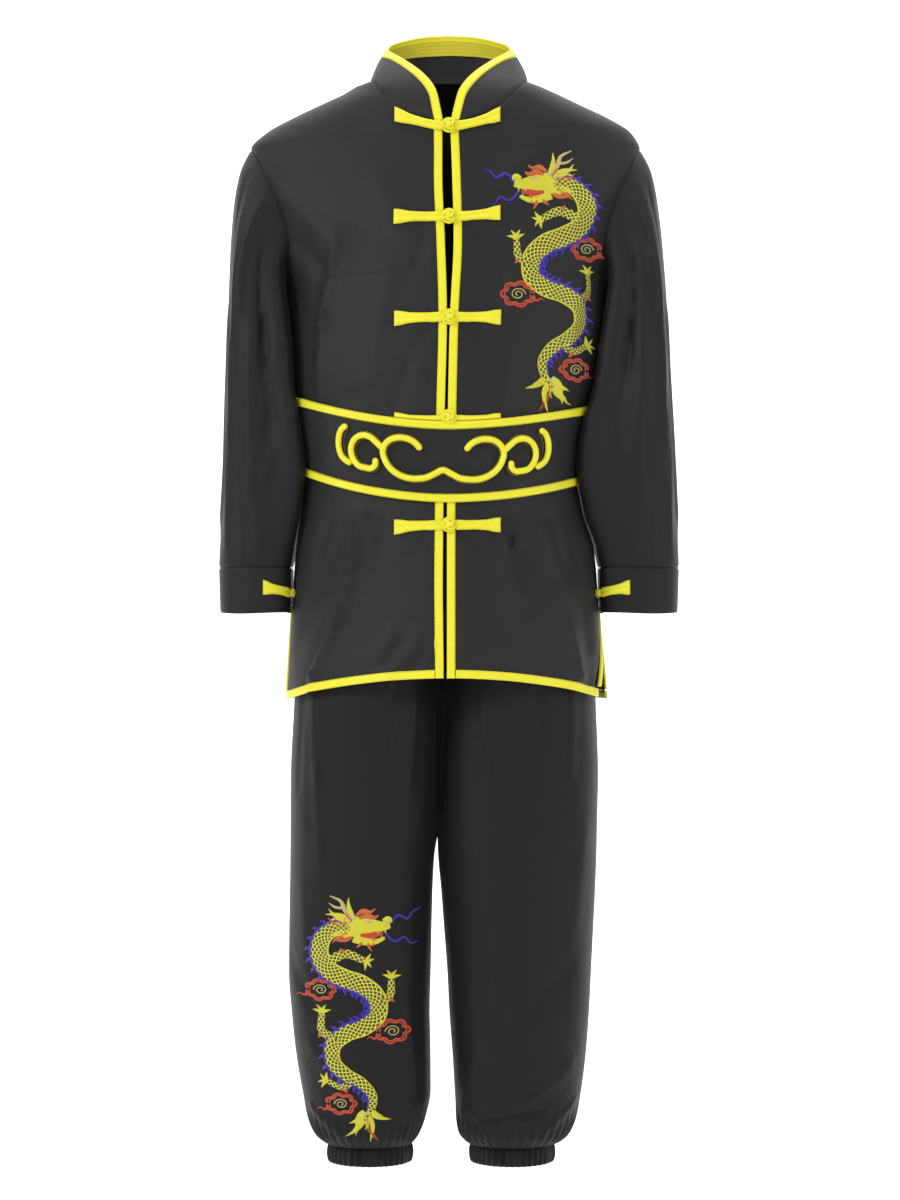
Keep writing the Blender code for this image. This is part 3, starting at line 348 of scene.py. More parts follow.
# The smaller creases of the front: soft lines down the chest, puckers at the belt and at the hem
FRONT_CREASES = (
    ("x0", "z0", "x1", "z1", "width", "height"),
    (-107, -160, -120, -245, 3.8, 2),
    (-119, -235, -127, -322, 3.4, 2),
    (-127, -190, -138, -300, 7, -1.8),
    (-160, -120, -118, -160, 10, 1.8),
    (-150, -165, -112, -205, 8, -1.6),
    (-70, -105, -50, -150, 12, 1.2),
    (-60, -200, -78, -300, 11, 1.2),
    (-40, -285, -52, -332, 5, -1.1),
    (52, -108, 82, -88, 10, 1.2),
    (60, -160, 40, -235, 11, 1.3),
    (150, -118, 118, -150, 10, 1.7),
    (146, -190, 128, -262, 7, -1.8),
    (60, -270, 53, -330, 7, 1.4),
    (24, -262, 34, -320, 6, -1),
    (-22, -150, -30, -190, 5, -1),
    (18, -152, 31, -166, 3, -1.2),
    (18, -250, 30, -264, 3, -1.2),
    (-16, -250, -28, -262, 3, -1),
    (-92, -318, -97, -338, 3.5, -1.3),
    (-58, -322, -56, -342, 3.5, -1.1),
    (84, -310, 88, -338, 4, -1.3),
    (112, -300, 110, -330, 4, 1.4),
    (-83, -432, -90, -480, 3.2, 2.4),
    (-89, -474, -105, -535, 3.6, 2.8),
    (-104, -530, -128, -590, 3.8, 2.6),
    (-127, -584, -134, -612, 3.4, 1.8),
    (-62, -436, -67, -470, 4, -1.3),
    (-120, -440, -130, -470, 5, -1.4),
    (58, -434, 66, -462, 4, -1.7),
    (67, -455, 74, -500, 5.2, -1.5),
    (82, -436, 84, -462, 4, 1.6),
    (100, -440, 110, -480, 5, -1.6),
    (104, -505, 126, -590, 7, 2.4),
    (125, -470, 138, -560, 7, -1.8),
    (44, -510, 60, -560, 9, 1.3),
    (18, -453, 34, -470, 3.5, -1.3),
    (-18, -452, -32, -468, 3.5, -1.1),
    (-70, -572, -55, -548, 4.2, 1.6),
    (-60, -578, -44, -556, 3.6, -1.3),
    (-48, -580, -32, -560, 3.6, 1.7),
    (-34, -582, -20, -564, 3.4, -1.3),
    (-24, -578, -15, -556, 3.2, 1.4),
    (26, -578, 40, -560, 4, 1.3),
)
# The smaller creases of the back, of the same kinds
BACK_CREASES = (
    ("x0", "z0", "x1", "z1", "width", "height"),
    (-98, -155, -88, -250, 6, 2),
    (92, -150, 80, -240, 6, 2),
    (-84, -240, -76, -318, 5.5, 1.8),
    (78, -235, 72, -318, 5.5, 1.8),
    (-150, -120, -110, -165, 10, 2),
    (148, -118, 108, -160, 10, 2),
    (-135, -185, -110, -225, 8, -1.8),
    (133, -180, 108, -222, 8, -1.8),
    (-40, -30, 35, -34, 8, 1.4),
    (-55, -50, 50, -55, 9, -1),
    (-20, -200, -8, -300, 9, -1.5),
    (30, -190, 38, -300, 9, 1.4),
    (-60, -285, -58, -308, 3.6, -1.4),
    (10, -290, 12, -306, 3.6, -1.2),
    (52, -284, 50, -306, 4, -1.4),
    (100, -290, 98, -310, 4, 1.4),
    (-110, -398, -118, -450, 4.5, -1.8),
    (-74, -398, -82, -470, 5, 2.4),
    (-80, -460, -97, -596, 7, 2.6),
    (-30, -398, -34, -440, 4.2, -1.8),
    (4, -400, 2, -480, 6, -2),
    (36, -398, 42, -440, 4.2, 1.8),
    (62, -400, 74, -480, 5.2, 2.4),
    (72, -470, 92, -598, 7.5, 2.6),
    (108, -400, 120, -470, 5, -1.8),
    (30, -520, 36, -600, 9, 1.6),
    (-40, -520, -50, -600, 9, 1.6),
)
# On a sleeve, (turn, along), in degrees and hundredths: turn 0 is outside, 90 the front, -90 the back
SLEEVE_FOLDS = (
    ("turn0", "along0", "turn1", "along1", "width", "height"),
    (60, 10, 50, 62, 13, 4),
    (100, 8, 110, 55, 12, -4),
    (20, 20, 15, 75, 13, -2.2),
    (80, 55, 95, 98, 13, 2.8),
    (-60, 10, -55, 65, 14, 3.6),
    (-105, 10, -100, 60, 13, -3.6),
)
SLEEVE_CREASES = (
    ("turn0", "along0", "turn1", "along1", "width", "height"),
    (72, 6, 66, 30, 4.5, 1.8),
    (58, 26, 50, 58, 5.0, 1.8),
    (40, 12, 30, 40, 6.0, -1.4),
    (92, 14, 104, 40, 4.5, -1.8),
    (106, 34, 114, 62, 5.0, -1.6),
    (84, 44, 78, 74, 5.5, 1.6),
    (64, 66, 74, 94, 5.0, 1.4),
    (36, 56, 44, 88, 6.0, 1.2),
    (120, 48, 100, 60, 3.5, -1.4),
    (122, 58, 98, 68, 3.5, 1.2),
    (14, 40, 4, 80, 6.0, 1.2),
    (-24, 14, -18, 60, 6.0, 1.4),
    (-64, 8, -58, 36, 5.0, 1.8),
    (-54, 32, -62, 66, 5.5, 1.6),
    (-88, 16, -98, 48, 5.0, -1.8),
    (-76, 58, -84, 94, 5.5, 1.5),
    (-112, 48, -92, 60, 3.5, -1.4),
    (-40, 66, -46, 94, 6.0, -1.2),
)
# On a leg, (across, z), z in millimetres: across is 0 at the outseam and 1 at the inseam
LEG_FOLDS = (
    ("across0", "z0", "across1", "z1", "width", "height"),
    (0.30, -600, 0.34, -760, 55, 4.2),
    (0.70, -600, 0.62, -800, 60, 3.6),
    (0.48, -610, 0.46, -720, 50, -3),
    (0.25, -860, 0.45, -935, 60, -3),
    (0.30, -1000, 0.65, -1035, 50, -4),
    (0.55, -960, 0.75, -1020, 60, 3.6),
)
LEG_CREASES = {
    "front_right": (
        ("across0", "z0", "across1", "z1", "width", "height"),
        (0.26, -605, 0.30, -690, 5, 2),
        (0.30, -680, 0.33, -770, 6, 1.8),
        (0.20, -610, 0.19, -700, 6, -1.6),
        (0.60, -605, 0.58, -665, 5, -1.6),
        (0.70, -610, 0.68, -700, 6, 1.8),
        (0.84, -620, 0.88, -740, 7, -2.2),
        (0.14, -870, 0.30, -912, 9, -2),
        (0.22, -800, 0.26, -860, 9, 1.4),
        (0.26, -955, 0.52, -1010, 7, 2),
        (0.46, -1004, 0.72, -1036, 6, -1.8),
        (0.18, -1016, 0.36, -1040, 5, 2),
        (0.72, -900, 0.78, -990, 8, 1.6),
    ),
    "front_left": (
        ("across0", "z0", "across1", "z1", "width", "height"),
        (0.28, -605, 0.30, -680, 5.5, 1.8),
        (0.44, -605, 0.42, -650, 5, -1.5),
        (0.64, -605, 0.60, -700, 6, 1.8),
        (0.82, -625, 0.86, -720, 7, -2),
        (0.20, -740, 0.26, -840, 9, 1.4),
        (0.30, -880, 0.50, -925, 8, -1.8),
        (0.62, -820, 0.58, -930, 9, 1.4),
        (0.24, -975, 0.50, -1012, 6.5, 1.8),
        (0.40, -1020, 0.76, -1034, 4.5, -2.2),
        (0.16, -1010, 0.34, -1036, 5, 1.8),
        (0.70, -960, 0.84, -1020, 6, 1.6),
    ),
    "back": (
        ("across0", "z0", "across1", "z1", "width", "height"),
        (0.30, -610, 0.34, -700, 6, 1.8),
        (0.56, -605, 0.54, -680, 6, -1.6),
        (0.70, -610, 0.64, -740, 7, 1.8),
        (0.20, -850, 0.44, -886, 7, 2.4),
        (0.24, -890, 0.54, -912, 6, -2.2),
        (0.46, -860, 0.76, -892, 6.5, 2),
        (0.30, -990, 0.60, -1020, 6.5, 2),
        (0.50, -1020, 0.80, -1036, 5, -2),
        (0.16, -1012, 0.30, -1038, 5, 1.8),
    ),
}
# How strongly the smaller creases show
CREASE_SHOW = 1.8
# Where the jacket's folds begin, and over how much they rise: by the sine of the angle from the side
# seam, by the depth below the neck, and by the distance from the belt's edge
FOLDS_FROM_SIDE = (0.15, 0.35)
FOLDS_FROM_NECK = (0.09, 0.06)
FOLDS_FROM_BELT = (0.004, 0.03)
CREASES_FROM_BELT = (0.001, 0.008)
# The cloth's slow unevenness: radians a metre, the bend of each wave, and the bend's radians a metre
WANDER_HEIGHT = 0.0005
WANDER_ACROSS = (61, 1.3, 37)
WANDER_DOWN = (43, 2.0, 29)

# How far a sleeve's inner folds lap over the body in front and behind, by share of its length. They
# are widest at this turn either way, fade over this many degrees, and swell by this share
SLEEVE_LAP = (
    (0.00, 0.06, 0.14, 0.24, 0.36, 0.50, 0.66, 0.82, 1.00),
    (0.000, 0.001, 0.005, 0.010, 0.014, 0.016, 0.016, 0.013, 0.007),
)
LAP_TURN = 138.0
LAP_WIDTH = 24.0
LAP_SWELL = 0.9


def smoothstep(t: Array) -> Array:
    """An ease from 0 to 1: t squared times (3 - 2t), held at both ends."""
    t = np.clip(t, 0, 1)
    return t * t * (3 - 2 * t)


def eased(value: Array, start: float, over: float) -> Array:
    """0 up to a start, 1 from a distance past it, and a smooth step between."""
    return smoothstep((value - start) / over)


def within(share: Array, first: float, last: float) -> Array:
    """1 along the middle of a length, easing to 0 over a first and a last share of it."""
    return smoothstep(share / first) * smoothstep((1 - share) / last)


def wander(x: Array, z: Array) -> Array:
    """A slow unevenness of the cloth: a wave across times a wave down, each bent by the other way."""
    waves = []
    for (rate, bend, turn), along, over in ((WANDER_ACROSS, x, z), (WANDER_DOWN, z, x)):
        waves.append(np.sin(along * rate + bend * np.sin(over * turn)))
    return WANDER_HEIGHT * waves[0] * waves[1]


def fold_height(folds: tuple, u: Array, v: Array, u_scale: float = 1.0) -> Array:
    """Add up folds: each is a ridge of Gaussian section along a line, a trough if negative.

    Args:
        folds: a heading row, then rows of (u0, v0, u1, v1, width, height), the height in millimetres.
        u: first parameter of the points, in the table's units.
        v: second parameter of the points, in the table's units.
        u_scale: what one unit of u is worth in units of v.

    Returns:
        The height at each point, in metres.
    """
    total = np.zeros(np.broadcast(u, v).shape)
    for u0, v0, u1, v1, width, height in folds[1:]:
        du, dv = (u1 - u0) * u_scale, v1 - v0
        along = np.clip(((u - u0) * u_scale * du + (v - v0) * dv) / (du * du + dv * dv), 0, 1)
        off = np.hypot((u - u0) * u_scale - along * du, v - v0 - along * dv)
        total = total + height / MM_PER_METRE * np.exp(-((off / width) ** 2))
    return total


def belt_middle(theta: Array) -> Array:
    """The belt's middle dips at the front: side height, then lower by a power of the cosine."""
    side = np.where(np.cos(theta) > 0, BELT_LEFT_Z, BELT_RIGHT_Z)
    middle = np.where(np.sin(theta) > 0, BELT_FRONT_Z, BELT_BACK_Z)
    return middle + (side - middle) * np.abs(np.cos(theta)) ** BELT_DIP


def hem_at(theta: Array | float) -> Array:
    """The hem's height: level at the back, and risen by the sine's square to the front edges."""
    return HEM_SIDE_Z + HEM_RISE * np.where(np.sin(theta) > 0, np.sin(theta) ** 2, 0)


class Form:
    """A cloth surface as a function of two parameters."""

    side: float = -1.0
    step: float = 6e-4

    def points(self, u: Array, v: Array) -> Array:
        """Places on the surface, one for each pair of parameters."""
        raise NotImplementedError

    def normals(self, u: Array, v: Array) -> Array:
        """Unit normals: the cross product of small steps each way along both parameters."""
        u, v = np.broadcast_arrays(np.asarray(u, float), np.asarray(v, float))
        du = self.points(u + self.step, v) - self.points(u - self.step, v)
        dv = self.points(u, v + self.step) - self.points(u, v - self.step)
        out = np.cross(du, dv) * self.side
        return out / np.maximum(np.linalg.norm(out, axis=-1, keepdims=True), 1e-12)

    def raised(self, u: Array, v: Array, height: Array | float) -> Array:
        """Points moved out along their normals by a height."""
        u, v = np.broadcast_arrays(np.asarray(u, float), np.asarray(v, float))
        height = np.broadcast_to(height, u.shape)[..., None]
        return self.points(u, v) + self.normals(u, v) * height


class JacketForm(Form):
    """The jacket's outside: a rounded level ring at each height, with its folds moved out.

    x = reach cos(theta) (1 + f sin^2), y = -depth sin(theta) (1 + f cos^2), f the ring's fullness.
    """

    ring_angles = np.linspace(0, math.pi, 1441)
    ring_shares = np.cos(ring_angles) * (1 + RING_FULLNESS * np.sin(ring_angles) ** 2)

    def points(self, u: Array, v: Array) -> Array:
        """Places by angle (0 the wearer's left, pi/2 the front) and height."""
        theta, z = np.broadcast_arrays(u, v)
        c, s = np.cos(theta), np.sin(theta)
        x = c * (1 + RING_FULLNESS * s * s) * np.where(c > 0, BODY.at("left", z), BODY.at("right", z))
        y = -s * (1 + RING_FULLNESS * c * c) * np.where(s > 0, BODY.at("front", z), BODY.at("back", z))
        past_belt = np.abs(z - belt_middle(theta)) - BELT_HALF_WIDTH
        ahead = eased(np.abs(s), *FOLDS_FROM_SIDE)
        fade = ahead * eased(-z, *FOLDS_FROM_NECK) * eased(past_belt, *FOLDS_FROM_BELT)
        at = (x * MM_PER_METRE, z * MM_PER_METRE)
        lift = np.where(s > 0, fold_height(FRONT_FOLDS, *at), fold_height(BACK_FOLDS, *at)) * fade
        small = np.where(s > 0, fold_height(FRONT_CREASES, *at), fold_height(BACK_CREASES, *at))
        lift = lift + (CREASE_SHOW * small + wander(x, z)) * ahead * eased(past_belt, *CREASES_FROM_BELT)
        return np.stack([x + lift * c, y - lift * s, z], -1)

    def angle_at(self, x: Array, z: Array) -> Array:
        """The angle on the front half at which the ring at z reaches x."""
        x, z = np.broadcast_arrays(np.asarray(x, float), np.asarray(z, float))
        share = x / np.where(x > 0, BODY.at("left", z), BODY.at("right", z))
        return np.interp(-share, -self.ring_shares, self.ring_angles)

    def panel_angle(self, side: Side, reach: Array, z: Array) -> Array:
        """The angle, from a panel's own side, at which it is this far from the centre line."""
        if side is Side.LEFT:
            return self.angle_at(reach, z)
        return math.pi - self.angle_at(-reach, z)

    def place(self, x: Array, z: Array) -> tuple[Array, Array]:
        """Parameters of the point of the front at x and z, as seen from the front."""
        return self.angle_at(x, z), np.asarray(z, float)


JACKET = JacketForm()


def armhole_angle(z: Array, margin: float = 0.0) -> Array:
    """How far the armhole bites into the ring at z: half an ellipse of angle against height."""
    middle = (SHOULDER_Z + UNDERARM_Z) / 2
    half = (SHOULDER_Z - UNDERARM_Z) / 2 + margin
    bite = ARMHOLE_BITE + margin * TURN_PER_METRE
    return bite * np.sqrt(np.clip(1 - ((z - middle) / half) ** 2, 0, None))


def neck_base(alpha: Array) -> tuple[Array, Array, Array]:
    """The neckline on the body, by angle: it drops to the front and rises to the nape."""
    c, s = np.cos(alpha), np.sin(alpha)
    front = s > 0
    reach = NECK_HALF_WIDTH * c
    x = np.where(front, NECK_FRONT_END * s**2 + reach * (1 - NECK_NARROWING * s**2), reach)
    drop = -NECK_DROP * np.abs(s) ** NECK_DROP_POWER
    z = np.where(front, drop, NAPE_RISE * np.abs(s) ** NAPE_POWER)
    theta = JACKET.angle_at(x, z)
    return x, z, np.where(front, theta, -theta)


def neck_alpha_front(z: Array) -> Array:
    """The neckline's angle at a height of the front."""
    return np.arcsin(np.clip((-z / NECK_DROP) ** (1 / NECK_DROP_POWER), 0, 1))


def neck_alpha_back(z: Array) -> Array:
    """The neckline's angle at a height of the back."""
    return -np.arcsin(np.clip((z / NAPE_RISE) ** (1 / NAPE_POWER), 0, 1))


class CollarForm(Form):
    """The standing collar: straight lines from the neckline to its upper edge, bellied a little.

    The first parameter runs from the left front (pi/2) by the nape (-pi/2) to the right front.
    """

    def points(self, u: Array, v: Array) -> Array:
        """Places by angle and share of the collar's height."""
        alpha, t = np.broadcast_arrays(u, v)
        right = alpha < -math.pi / 2
        folded = np.where(right, -math.pi - alpha, alpha)
        sign = np.where(right, -1.0, 1.0)
        x, z, theta = neck_base(folded)
        base = JACKET.points(theta, z)
        base[..., 0] = x
        degrees = np.degrees(folded)
        edge = np.stack([COLLAR_EDGE.at(axis, degrees) for axis in "xyz"], -1)
        t = t[..., None]
        out = np.stack([np.cos(folded), -np.sin(folded), 0 * folded], -1)
        belly = COLLAR_BELLY * t * (1 - t) * np.cos(folded / 2)[..., None] ** 2
        ripple = COLLAR_RIPPLE * np.sin(7 * folded + 2.2 * sign)[..., None] * t * (1 - t) * 4
        points = base + (edge - base) * t + out * (belly + ripple)
        points[..., 0] *= sign
        points[..., 0] -= NECK_SHIFT * np.clip(-z / NECK_DROP, 0, 1)
        return points

    def height(self, alpha: Array) -> Array:
        """The stand's height at each angle."""
        rise = self.points(alpha, np.ones(len(alpha))) - self.points(alpha, np.zeros(len(alpha)))
        return np.linalg.norm(rise, axis=1)


class SleeveForm(Form):
    """A sleeve's outside: rounded rings across slanted lines, the first leaning on the armhole."""

    fold_ends = (0.15, 0.08)
    crease_ends = (0.05, 0.03)
    fold_outside = (-0.75, 0.5)
    lean_share = 0.3

    def __init__(self, side: Side) -> None:
        """Keep the side whose reach this sleeve takes."""
        self.wearer_side = side
        self.side = float(side.value)

    def section(self, turn: Array, along: Array) -> Array:
        """Places on the plain sleeve, by turn (0 outside, pi/2 front) and place along it."""
        inner_z, outer_z = SLEEVE.at("inner_z", along), SLEEVE.at("outer_z", along)
        inner_x = BODY.at(self.wearer_side.word, inner_z) + SLEEVE.at("clear", along)
        outer_x = SLEEVE.at(self.wearer_side.word, along)
        c, s = np.cos(turn), np.sin(turn)
        across = c * (1 + RING_FULLNESS * s * s)
        outward = eased(c, *self.fold_outside)
        degrees = np.degrees(np.arctan2(s, c))
        lift = fold_height(SLEEVE_FOLDS, degrees, along * 100) * within(along, *self.fold_ends) * outward
        small = within(along, *self.crease_ends) * outward
        lift = lift + CREASE_SHOW * fold_height(SLEEVE_CREASES, degrees, along * 100) * small
        lap = np.interp(along, SLEEVE_LAP[0], SLEEVE_LAP[1])
        lap = lap * np.exp(-(((np.abs(degrees) - LAP_TURN) / LAP_WIDTH) ** 2))
        x = (outer_x + inner_x) / 2 + (outer_x - inner_x) / 2 * across + lift * c - lap
        z = (outer_z + inner_z) / 2 + (outer_z - inner_z) / 2 * across
        y = -SLEEVE.at("depth", along) * s * (1 + RING_FULLNESS * c * c) - (lift + LAP_SWELL * lap) * s
        return np.stack([self.side * x, y, z], -1)

    def armhole(self, turn: Array) -> tuple[Array, Array]:
        """The jacket's own parameters along the armhole seam, by turn."""
        z = (SHOULDER_Z + UNDERARM_Z) / 2 + (SHOULDER_Z - UNDERARM_Z) / 2 * np.cos(turn)
        theta = ARMHOLE_BITE * np.sin(turn)
        return (theta if self.side > 0 else math.pi - theta), z

    def points(self, u: Array, v: Array) -> Array:
        """Places by turn and share of the length from the armhole to the cuff seam."""
        turn, along = np.broadcast_arrays(u, v)
        edge = JACKET.points(*self.armhole(turn))
        lean = np.clip(1 - along / self.lean_share, 0, 1)[..., None] ** 2
        return self.section(turn, along) + (edge - self.section(turn, np.zeros_like(along))) * lean


class CuffForm(Form):
    """A cuff's outside: the sleeve's last ring carried down and drawn in a little."""

    drawn_in = 0.035
    hem_sway = 0.0006

    def __init__(self, sleeve: SleeveForm) -> None:
        """Keep the sleeve that the cuff is sewn to."""
        self.sleeve = sleeve
        self.side = sleeve.side
        self.middle = sleeve.points(np.array([0.0, math.pi]), np.ones(2)).mean(0)

    def points(self, u: Array, v: Array) -> Array:
        """Places by turn and share of the cuff's depth."""
        turn, along = np.broadcast_arrays(u, v)
        ring = self.sleeve.points(turn, np.ones_like(along))
        ring = self.middle + (ring - self.middle) * (1 - self.drawn_in * along)[..., None]
        sway = self.hem_sway * np.sin(3 * turn + 1.0) * smoothstep(along)
        ring[..., 2] = SLEEVE_END_Z + (CUFF_END_Z - SLEEVE_END_Z) * along + sway
        return ring


class LegForm(Form):
    """A trouser panel's outside: half of a rounded leg ring, turning into a quarter of the hips'.

    Its folds are moved out from it, and its last centimetres are drawn into gathers at the cuff.
    """

    fold_sides = 0.15
    fold_top = (0.60, 0.02)
    fold_foot = (-1.05, 0.02)
    crease_sides = 0.06
    crease_foot = (-1.052, 0.012)
    gather_top = (1.004, 0.045)
    gather_depth = 0.0012
    gather_sink = 0.3

    def __init__(self, side: Side, half: str) -> None:
        """Keep which leg it is and whether it is the front or the back."""
        self.leg = side
        self.half = half
        self.facing = -1.0 if half == "front" else 1.0
        self.side = side.value * self.facing
        self.creases = LEG_CREASES["back" if half == "back" else f"front_{side.word}"]

    def points(self, u: Array, v: Array) -> Array:
        """Places by share across (0 outseam, 1 inseam) and height."""
        across, z = np.broadcast_arrays(u, v)
        hip = smoothstep((z - CROTCH_Z) / CROTCH_CURVE)
        parts = []
        for angle in (math.pi * across, math.pi * across / 2):
            c, s = np.cos(angle), np.sin(angle)
            parts.append((c * (1 + RING_FULLNESS * s * s), s * (1 + RING_FULLNESS * c * c)))
        (leg_x, leg_y), (hip_x, hip_y) = parts
        share = (1 - hip) * (1 + leg_x) / 2 + hip * hip_x
        reach = (1 - hip) * leg_y + hip * hip_y
        word = self.leg.word
        outer, inner = LEGS.at(word + "_out", z), LEGS.at(word + "_in", z)
        pressed = smoothstep((z - PRESS_END_Z) / PRESS_FADE)
        inner = inner - self.leg.value * THIGH_PRESS * pressed
        ends = eased(z, *self.fold_foot) * eased(-z, *self.fold_top)
        sides = within(across, self.fold_sides, self.fold_sides)
        at = (across, z * MM_PER_METRE, LEG_PANEL_WIDTH)
        lift = fold_height(LEG_FOLDS, *at) * ends * sides
        small = within(across, self.crease_sides, self.crease_sides) * eased(z, *self.crease_foot)
        lift = lift + CREASE_SHOW * fold_height(self.creases, *at) * small
        waves = np.cos(math.pi * ANKLE_GATHERS * across + 0.6 * np.sin(9 * across))
        gathers = self.gather_depth * (waves - self.gather_sink) * eased(-z, *self.gather_top)
        lift = lift + gathers * (1 - 0.35 * np.sin(31 * across) ** 2)
        x = inner + (outer - inner) * share
        y = self.facing * (LEGS.at(self.half, z) * reach + lift)
        middle = (outer + inner) / 2
        x = x + (x - middle) / np.maximum(np.abs(outer - inner), 1e-6) * 2 * gathers
        return np.stack([x, y, z], -1)

    def place(self, x: Array, z: Array) -> tuple[Array, Array]:
        """Parameters of the point of a leg, below the crotch, at x and z as seen from the front."""
        outer, inner = LEGS.at(self.leg.word + "_out", z), LEGS.at(self.leg.word + "_in", z)
        share = 2 * (np.asarray(x) - inner) / (outer - inner) - 1
        return np.interp(-share, -JACKET.ring_shares, JACKET.ring_angles) / math.pi, np.asarray(z, float)


class AnkleForm(Form):
    """An elasticated ankle cuff: a round ring drawn into gathers, each a little unlike the next."""

    sink = 0.0018
    swell = 0.0016
    gather_depth = 0.0010

    def __init__(self, side: Side) -> None:
        """Keep the centre of the cuff."""
        self.centre = ANKLE_CENTRES[side.word]

    def points(self, u: Array, v: Array) -> Array:
        """Places by turn and height."""
        turn, z = np.broadcast_arrays(u, v)
        share = (z - ANKLE_END_Z) / (ANKLE_TOP_Z - ANKLE_END_Z)
        swell = self.swell * np.sin(math.pi * np.clip(share, 0, 1)) - self.sink
        deep = self.gather_depth * (1 + 0.35 * np.sin(turn * 7 + 1.0) + 0.25 * np.sin(turn * 11))
        ridge = deep * np.cos(turn * ANKLE_GATHERS + 0.5 * np.sin(turn * 5) + 0.4 * share)
        radius = ANKLE_RADIUS + swell + ridge
        return np.stack([self.centre + radius * np.cos(turn), -radius * np.sin(turn), z], -1)


@dataclass
class Patch:
    """Points, quads and per-corner UV of one closed body, or of several joined."""

    points: Array
    quads: Array
    uvs: Array

    @staticmethod
    def wall(outer: Array, inner: Array, ring: bool = False) -> Patch:
        """Close the space between two grids of points.

        Args:
            outer: rows by columns of outside points.
            inner: the inside points, in the same order.
            ring: whether the last column joins the first.

        Returns:
            The closed wall, with UV of the outer grid's arc lengths in metres.
        """
        rows, columns = outer.shape[:2]
        around = np.concatenate([outer, outer[:, :1]], 1) if ring else outer
        across = np.linalg.norm(np.diff(around, axis=1), axis=2)
        across = np.concatenate([np.zeros((rows, 1)), np.cumsum(across, 1)], 1)
        across = across - across.mean(1, keepdims=True)
        down = np.linalg.norm(np.diff(around, axis=0), axis=2).mean(1)
        down = np.concatenate([[0], np.cumsum(down)])
        flat = np.stack([across, np.broadcast_to(down[:, None], across.shape)], -1)
        last = around.shape[1] - 1
        i, j = np.meshgrid(np.arange(rows - 1), np.arange(last), indexing="ij")
        i, j = i.ravel(), j.ravel()
        k = (j + 1) % columns
        total = rows * columns
        front = np.stack([i * columns + j, i * columns + k, (i + 1) * columns + k, (i + 1) * columns + j], 1)
        corner = np.stack([flat[i, j], flat[i, j + 1], flat[i + 1, j + 1], flat[i + 1, j]], 1)
        quads = [front, front[:, ::-1] + total]
        uvs = [corner, corner[:, ::-1]]
        j = np.arange(last)
        k = (j + 1) % columns
        for row, turned in ((0, False), (rows - 1, True)):
            a, b = row * columns + j, row * columns + k
            rim = np.stack([b, a, a + total, b + total], 1)
            edge = np.stack([flat[row, j + 1], flat[row, j], flat[row, j], flat[row, j + 1]], 1)
            quads.append(rim[:, ::-1] if turned else rim)
            uvs.append(edge[:, ::-1] if turned else edge)
        if not ring:
            i = np.arange(rows - 1)
            for column, turned in ((0, False), (columns - 1, True)):
                a, d = i * columns + column, (i + 1) * columns + column
                rim = np.stack([a, d, d + total, a + total], 1)
                first, second = flat[i, column], flat[i + 1, column]
                edge = np.stack([first, second, second, first], 1)
                quads.append(rim[:, ::-1] if turned else rim)
                uvs.append(edge[:, ::-1] if turned else edge)
        points = np.concatenate([outer.reshape(-1, 3), inner.reshape(-1, 3)])
        return Patch(points, np.concatenate(quads), np.concatenate(uvs)).outward()

    @staticmethod
    def tube(path: Array, out: Array, radius: Array | float, sides: int) -> Patch:
        """Carry a round section along a path, and round off both ends.

        Args:
            path: the path's points.
            out: the direction away from the cloth at each point.
            radius: the section's radius, one for all points or one each.
            sides: how many sides the section has.

        Returns:
            The closed tube, with UV of length along and turn round.
        """
        radius = np.broadcast_to(np.asarray(radius, float), (len(path),))
        along = np.gradient(path, axis=0)
        along /= np.maximum(np.linalg.norm(along, axis=1, keepdims=True), 1e-12)
        ends = np.array(CORD_END_STEPS)
        lift = np.sqrt(1 - ends**2)
        first = path[0] - along[0] * (radius[0] * ends)[:, None]
        final = path[-1] + along[-1] * (radius[-1] * ends[::-1])[:, None]
        path = np.concatenate([first, path, final])
        radius = np.concatenate([radius[0] * lift, radius, radius[-1] * lift[::-1]])
        more = len(ends)
        along = np.concatenate([np.repeat(along[:1], more, 0), along, np.repeat(along[-1:], more, 0)])
        out = np.concatenate([np.repeat(out[:1], more, 0), out, np.repeat(out[-1:], more, 0)])
        across = np.cross(along, out)
        across /= np.maximum(np.linalg.norm(across, axis=1, keepdims=True), 1e-12)
        out = np.cross(across, along)
        turn = np.linspace(0, 2 * math.pi, sides + 1)[:-1]
        level = across[:, None, :] * np.cos(turn)[None, :, None]
        ring = level + out[:, None, :] * np.sin(turn)[None, :, None]
        points = path[:, None, :] + ring * radius[:, None, None]
        rows = len(path)
        length = np.concatenate([[0], np.cumsum(np.linalg.norm(np.diff(path, axis=0), axis=1))])
        i, j = np.meshgrid(np.arange(rows - 1), np.arange(sides), indexing="ij")
        i, j = i.ravel(), j.ravel()
        k = (j + 1) % sides
        quads = np.stack([i * sides + j, i * sides + k, (i + 1) * sides + k, (i + 1) * sides + j], 1)
        width = 2 * math.pi * radius.max() / sides
        u = np.stack([j * width, (j + 1) * width, (j + 1) * width, j * width], 1)
        v = np.stack([length[i], length[i], length[i + 1], length[i + 1]], 1)
        caps, cap_uvs = [], []
        for start, turned in ((0, True), ((rows - 1) * sides, False)):
            for m in range(1, sides - 2, 2):
                quad = [start, start + m, start + m + 1, start + m + 2]
                caps.append(quad[::-1] if turned else quad)
                cap_uvs.append(np.zeros((4, 2)))
        points = points.reshape(-1, 3)
        quads = np.concatenate([quads, np.array(caps)])
        uvs = np.concatenate([np.stack([u, v], -1), np.array(cap_uvs)])
        return Patch(points, quads, uvs).outward()

